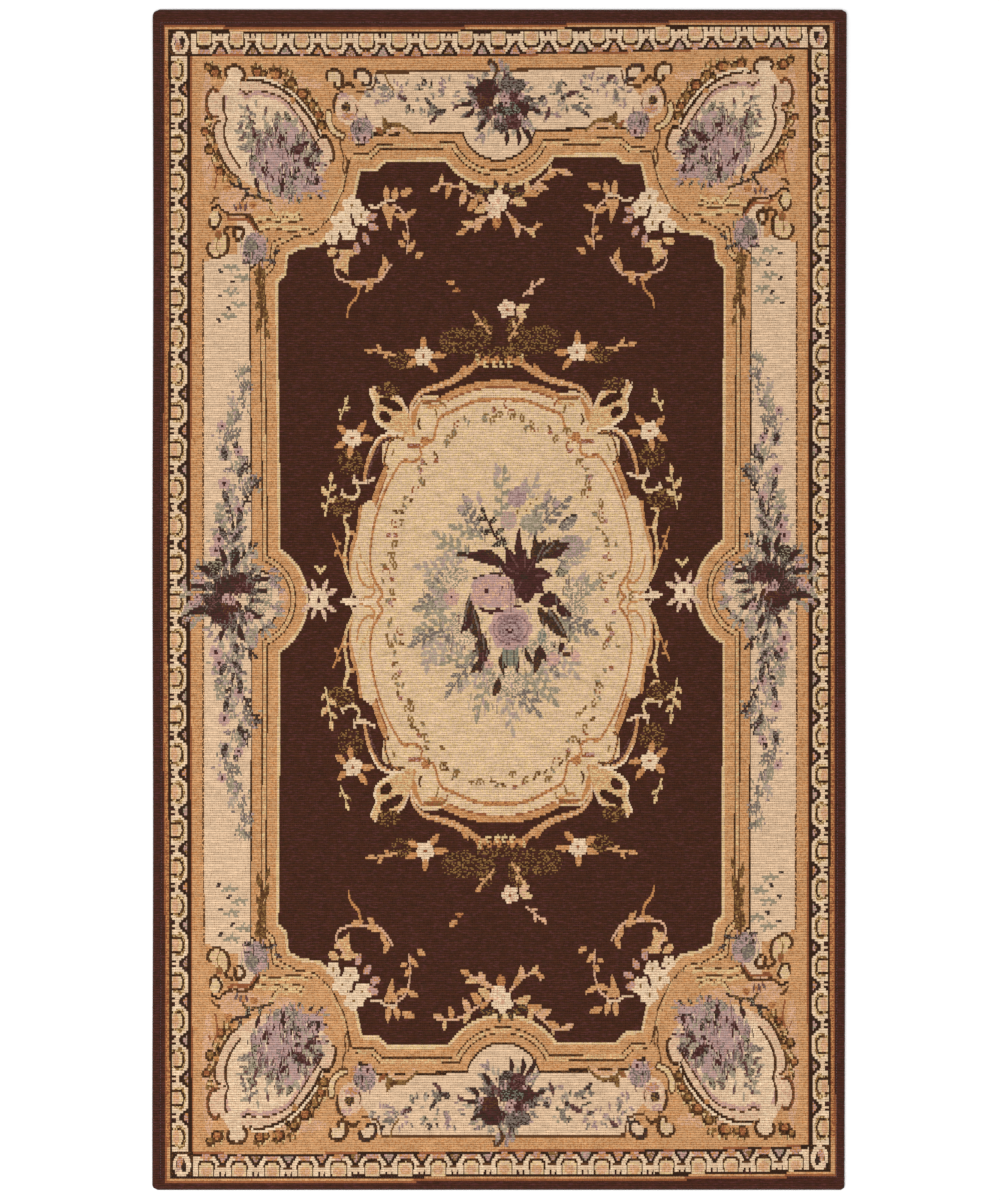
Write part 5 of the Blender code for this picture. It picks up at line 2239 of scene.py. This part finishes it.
@dataclass
class Studio:
    """The pale floor, the soft lights and the camera overhead."""

    lens: float = 85.0
    camera_height: float = 3.6
    picture_long_side: float = 1.525
    picture_shift: Point = (0.0007, -0.0004)
    floor_side: float = 14.0
    key_energy: float = 84.0
    key_place: tuple[float, float, float] = (-1.3, -1.0, 3.7)
    key_side: float = 2.4
    sky: float = 0.82

    def build(self) -> None:
        """Sets up the stage."""
        self.build_floor()
        self.build_lights()
        self.build_camera()
        view = bpy.context.scene.view_settings
        view.view_transform = "Standard"
        view.look = "None"
        LOG.info("studio: floor, light and camera")

    def build_floor(self) -> None:
        """A plain pale floor."""
        half = self.floor_side / 2
        mesh = bpy.data.meshes.new("floor")
        corners = [(-half, -half, 0.0), (half, -half, 0.0), (half, half, 0.0), (-half, half, 0.0)]
        mesh.from_pydata(corners, [], [(0, 1, 2, 3)])
        material = bpy.data.materials.new("pale_floor")
        material.use_nodes = True
        shader = material.node_tree.nodes["Principled BSDF"]
        shader.inputs["Base Color"].default_value = (0.92, 0.92, 0.92, 1.0)
        shader.inputs["Roughness"].default_value = 0.9
        shader.inputs["Specular IOR Level"].default_value = 0.1
        mesh.materials.append(material)
        floor = place_piece("floor", mesh)
        floor.location.z = -0.0002

    def build_lights(self) -> None:
        """A large soft light from above, a little to the left and the bottom end, and an even sky."""
        light = bpy.data.lights.new("key", "AREA")
        light.shape = "SQUARE"
        light.size = self.key_side
        light.energy = self.key_energy
        key = bpy.data.objects.new("key", light)
        key.location = self.key_place
        x, y, z = self.key_place
        key.rotation_euler = (-math.atan2(y, z), math.atan2(x, z), 0.0)
        bpy.context.scene.collection.objects.link(key)
        world = bpy.data.worlds.new("sky")
        world.use_nodes = True
        backdrop = world.node_tree.nodes["Background"]
        backdrop.inputs["Color"].default_value = (1.0, 1.0, 1.0, 1.0)
        backdrop.inputs["Strength"].default_value = self.sky
        bpy.context.scene.world = world

    def build_camera(self) -> None:
        """A camera straight above the middle of the rug."""
        data = bpy.data.cameras.new("camera")
        data.lens = self.lens
        data.sensor_fit = "AUTO"
        data.sensor_width = self.picture_long_side * self.lens / self.camera_height
        camera = bpy.data.objects.new("camera", data)
        camera.location = (*self.picture_shift, self.camera_height)
        bpy.context.scene.collection.objects.link(camera)
        bpy.context.scene.camera = camera


def woven_chart() -> Loom:
    """Weaves the whole pattern onto one chart.

    Returns:
        The loom with its chart.
    """
    loom = Loom()
    for piece in (
        ShellBorder(),
        FieldFrame(),
        CornerCartouche(),
        Medallion(),
        MiddleBouquet(),
        EndSprays(),
        SideSprays(),
        FieldSprays(),
    ):
        piece.weave(loom)
        LOG.info("%s: woven", type(piece).__name__)
    loom.beat()
    return loom


def main() -> None:
    """Weaves the rug, sews its hem and sets up the studio."""
    logging.basicConfig(level=logging.INFO, format="%(message)s")
    size = RugSize()
    loom = woven_chart()
    brown = (*MARGIN.linear(), 1.0)
    face = ChenilleFinish().make()
    back = PlainFinish("woven_back", (0.42, 0.27, 0.17, 1.0), brown).make()
    thread = PlainFinish("hem_thread", (0.19, 0.12, 0.12, 1.0), (0.12, 0.07, 0.07, 1.0), rib=0.0007).make()
    cloth = Cloth(size, loom).build(face, back)
    stitches = HemStitches(size).build(thread)
    for piece in (cloth, stitches):
        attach(piece, "root")
    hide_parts("rug")
    Studio().build()


if __name__ == "__main__":
    main()
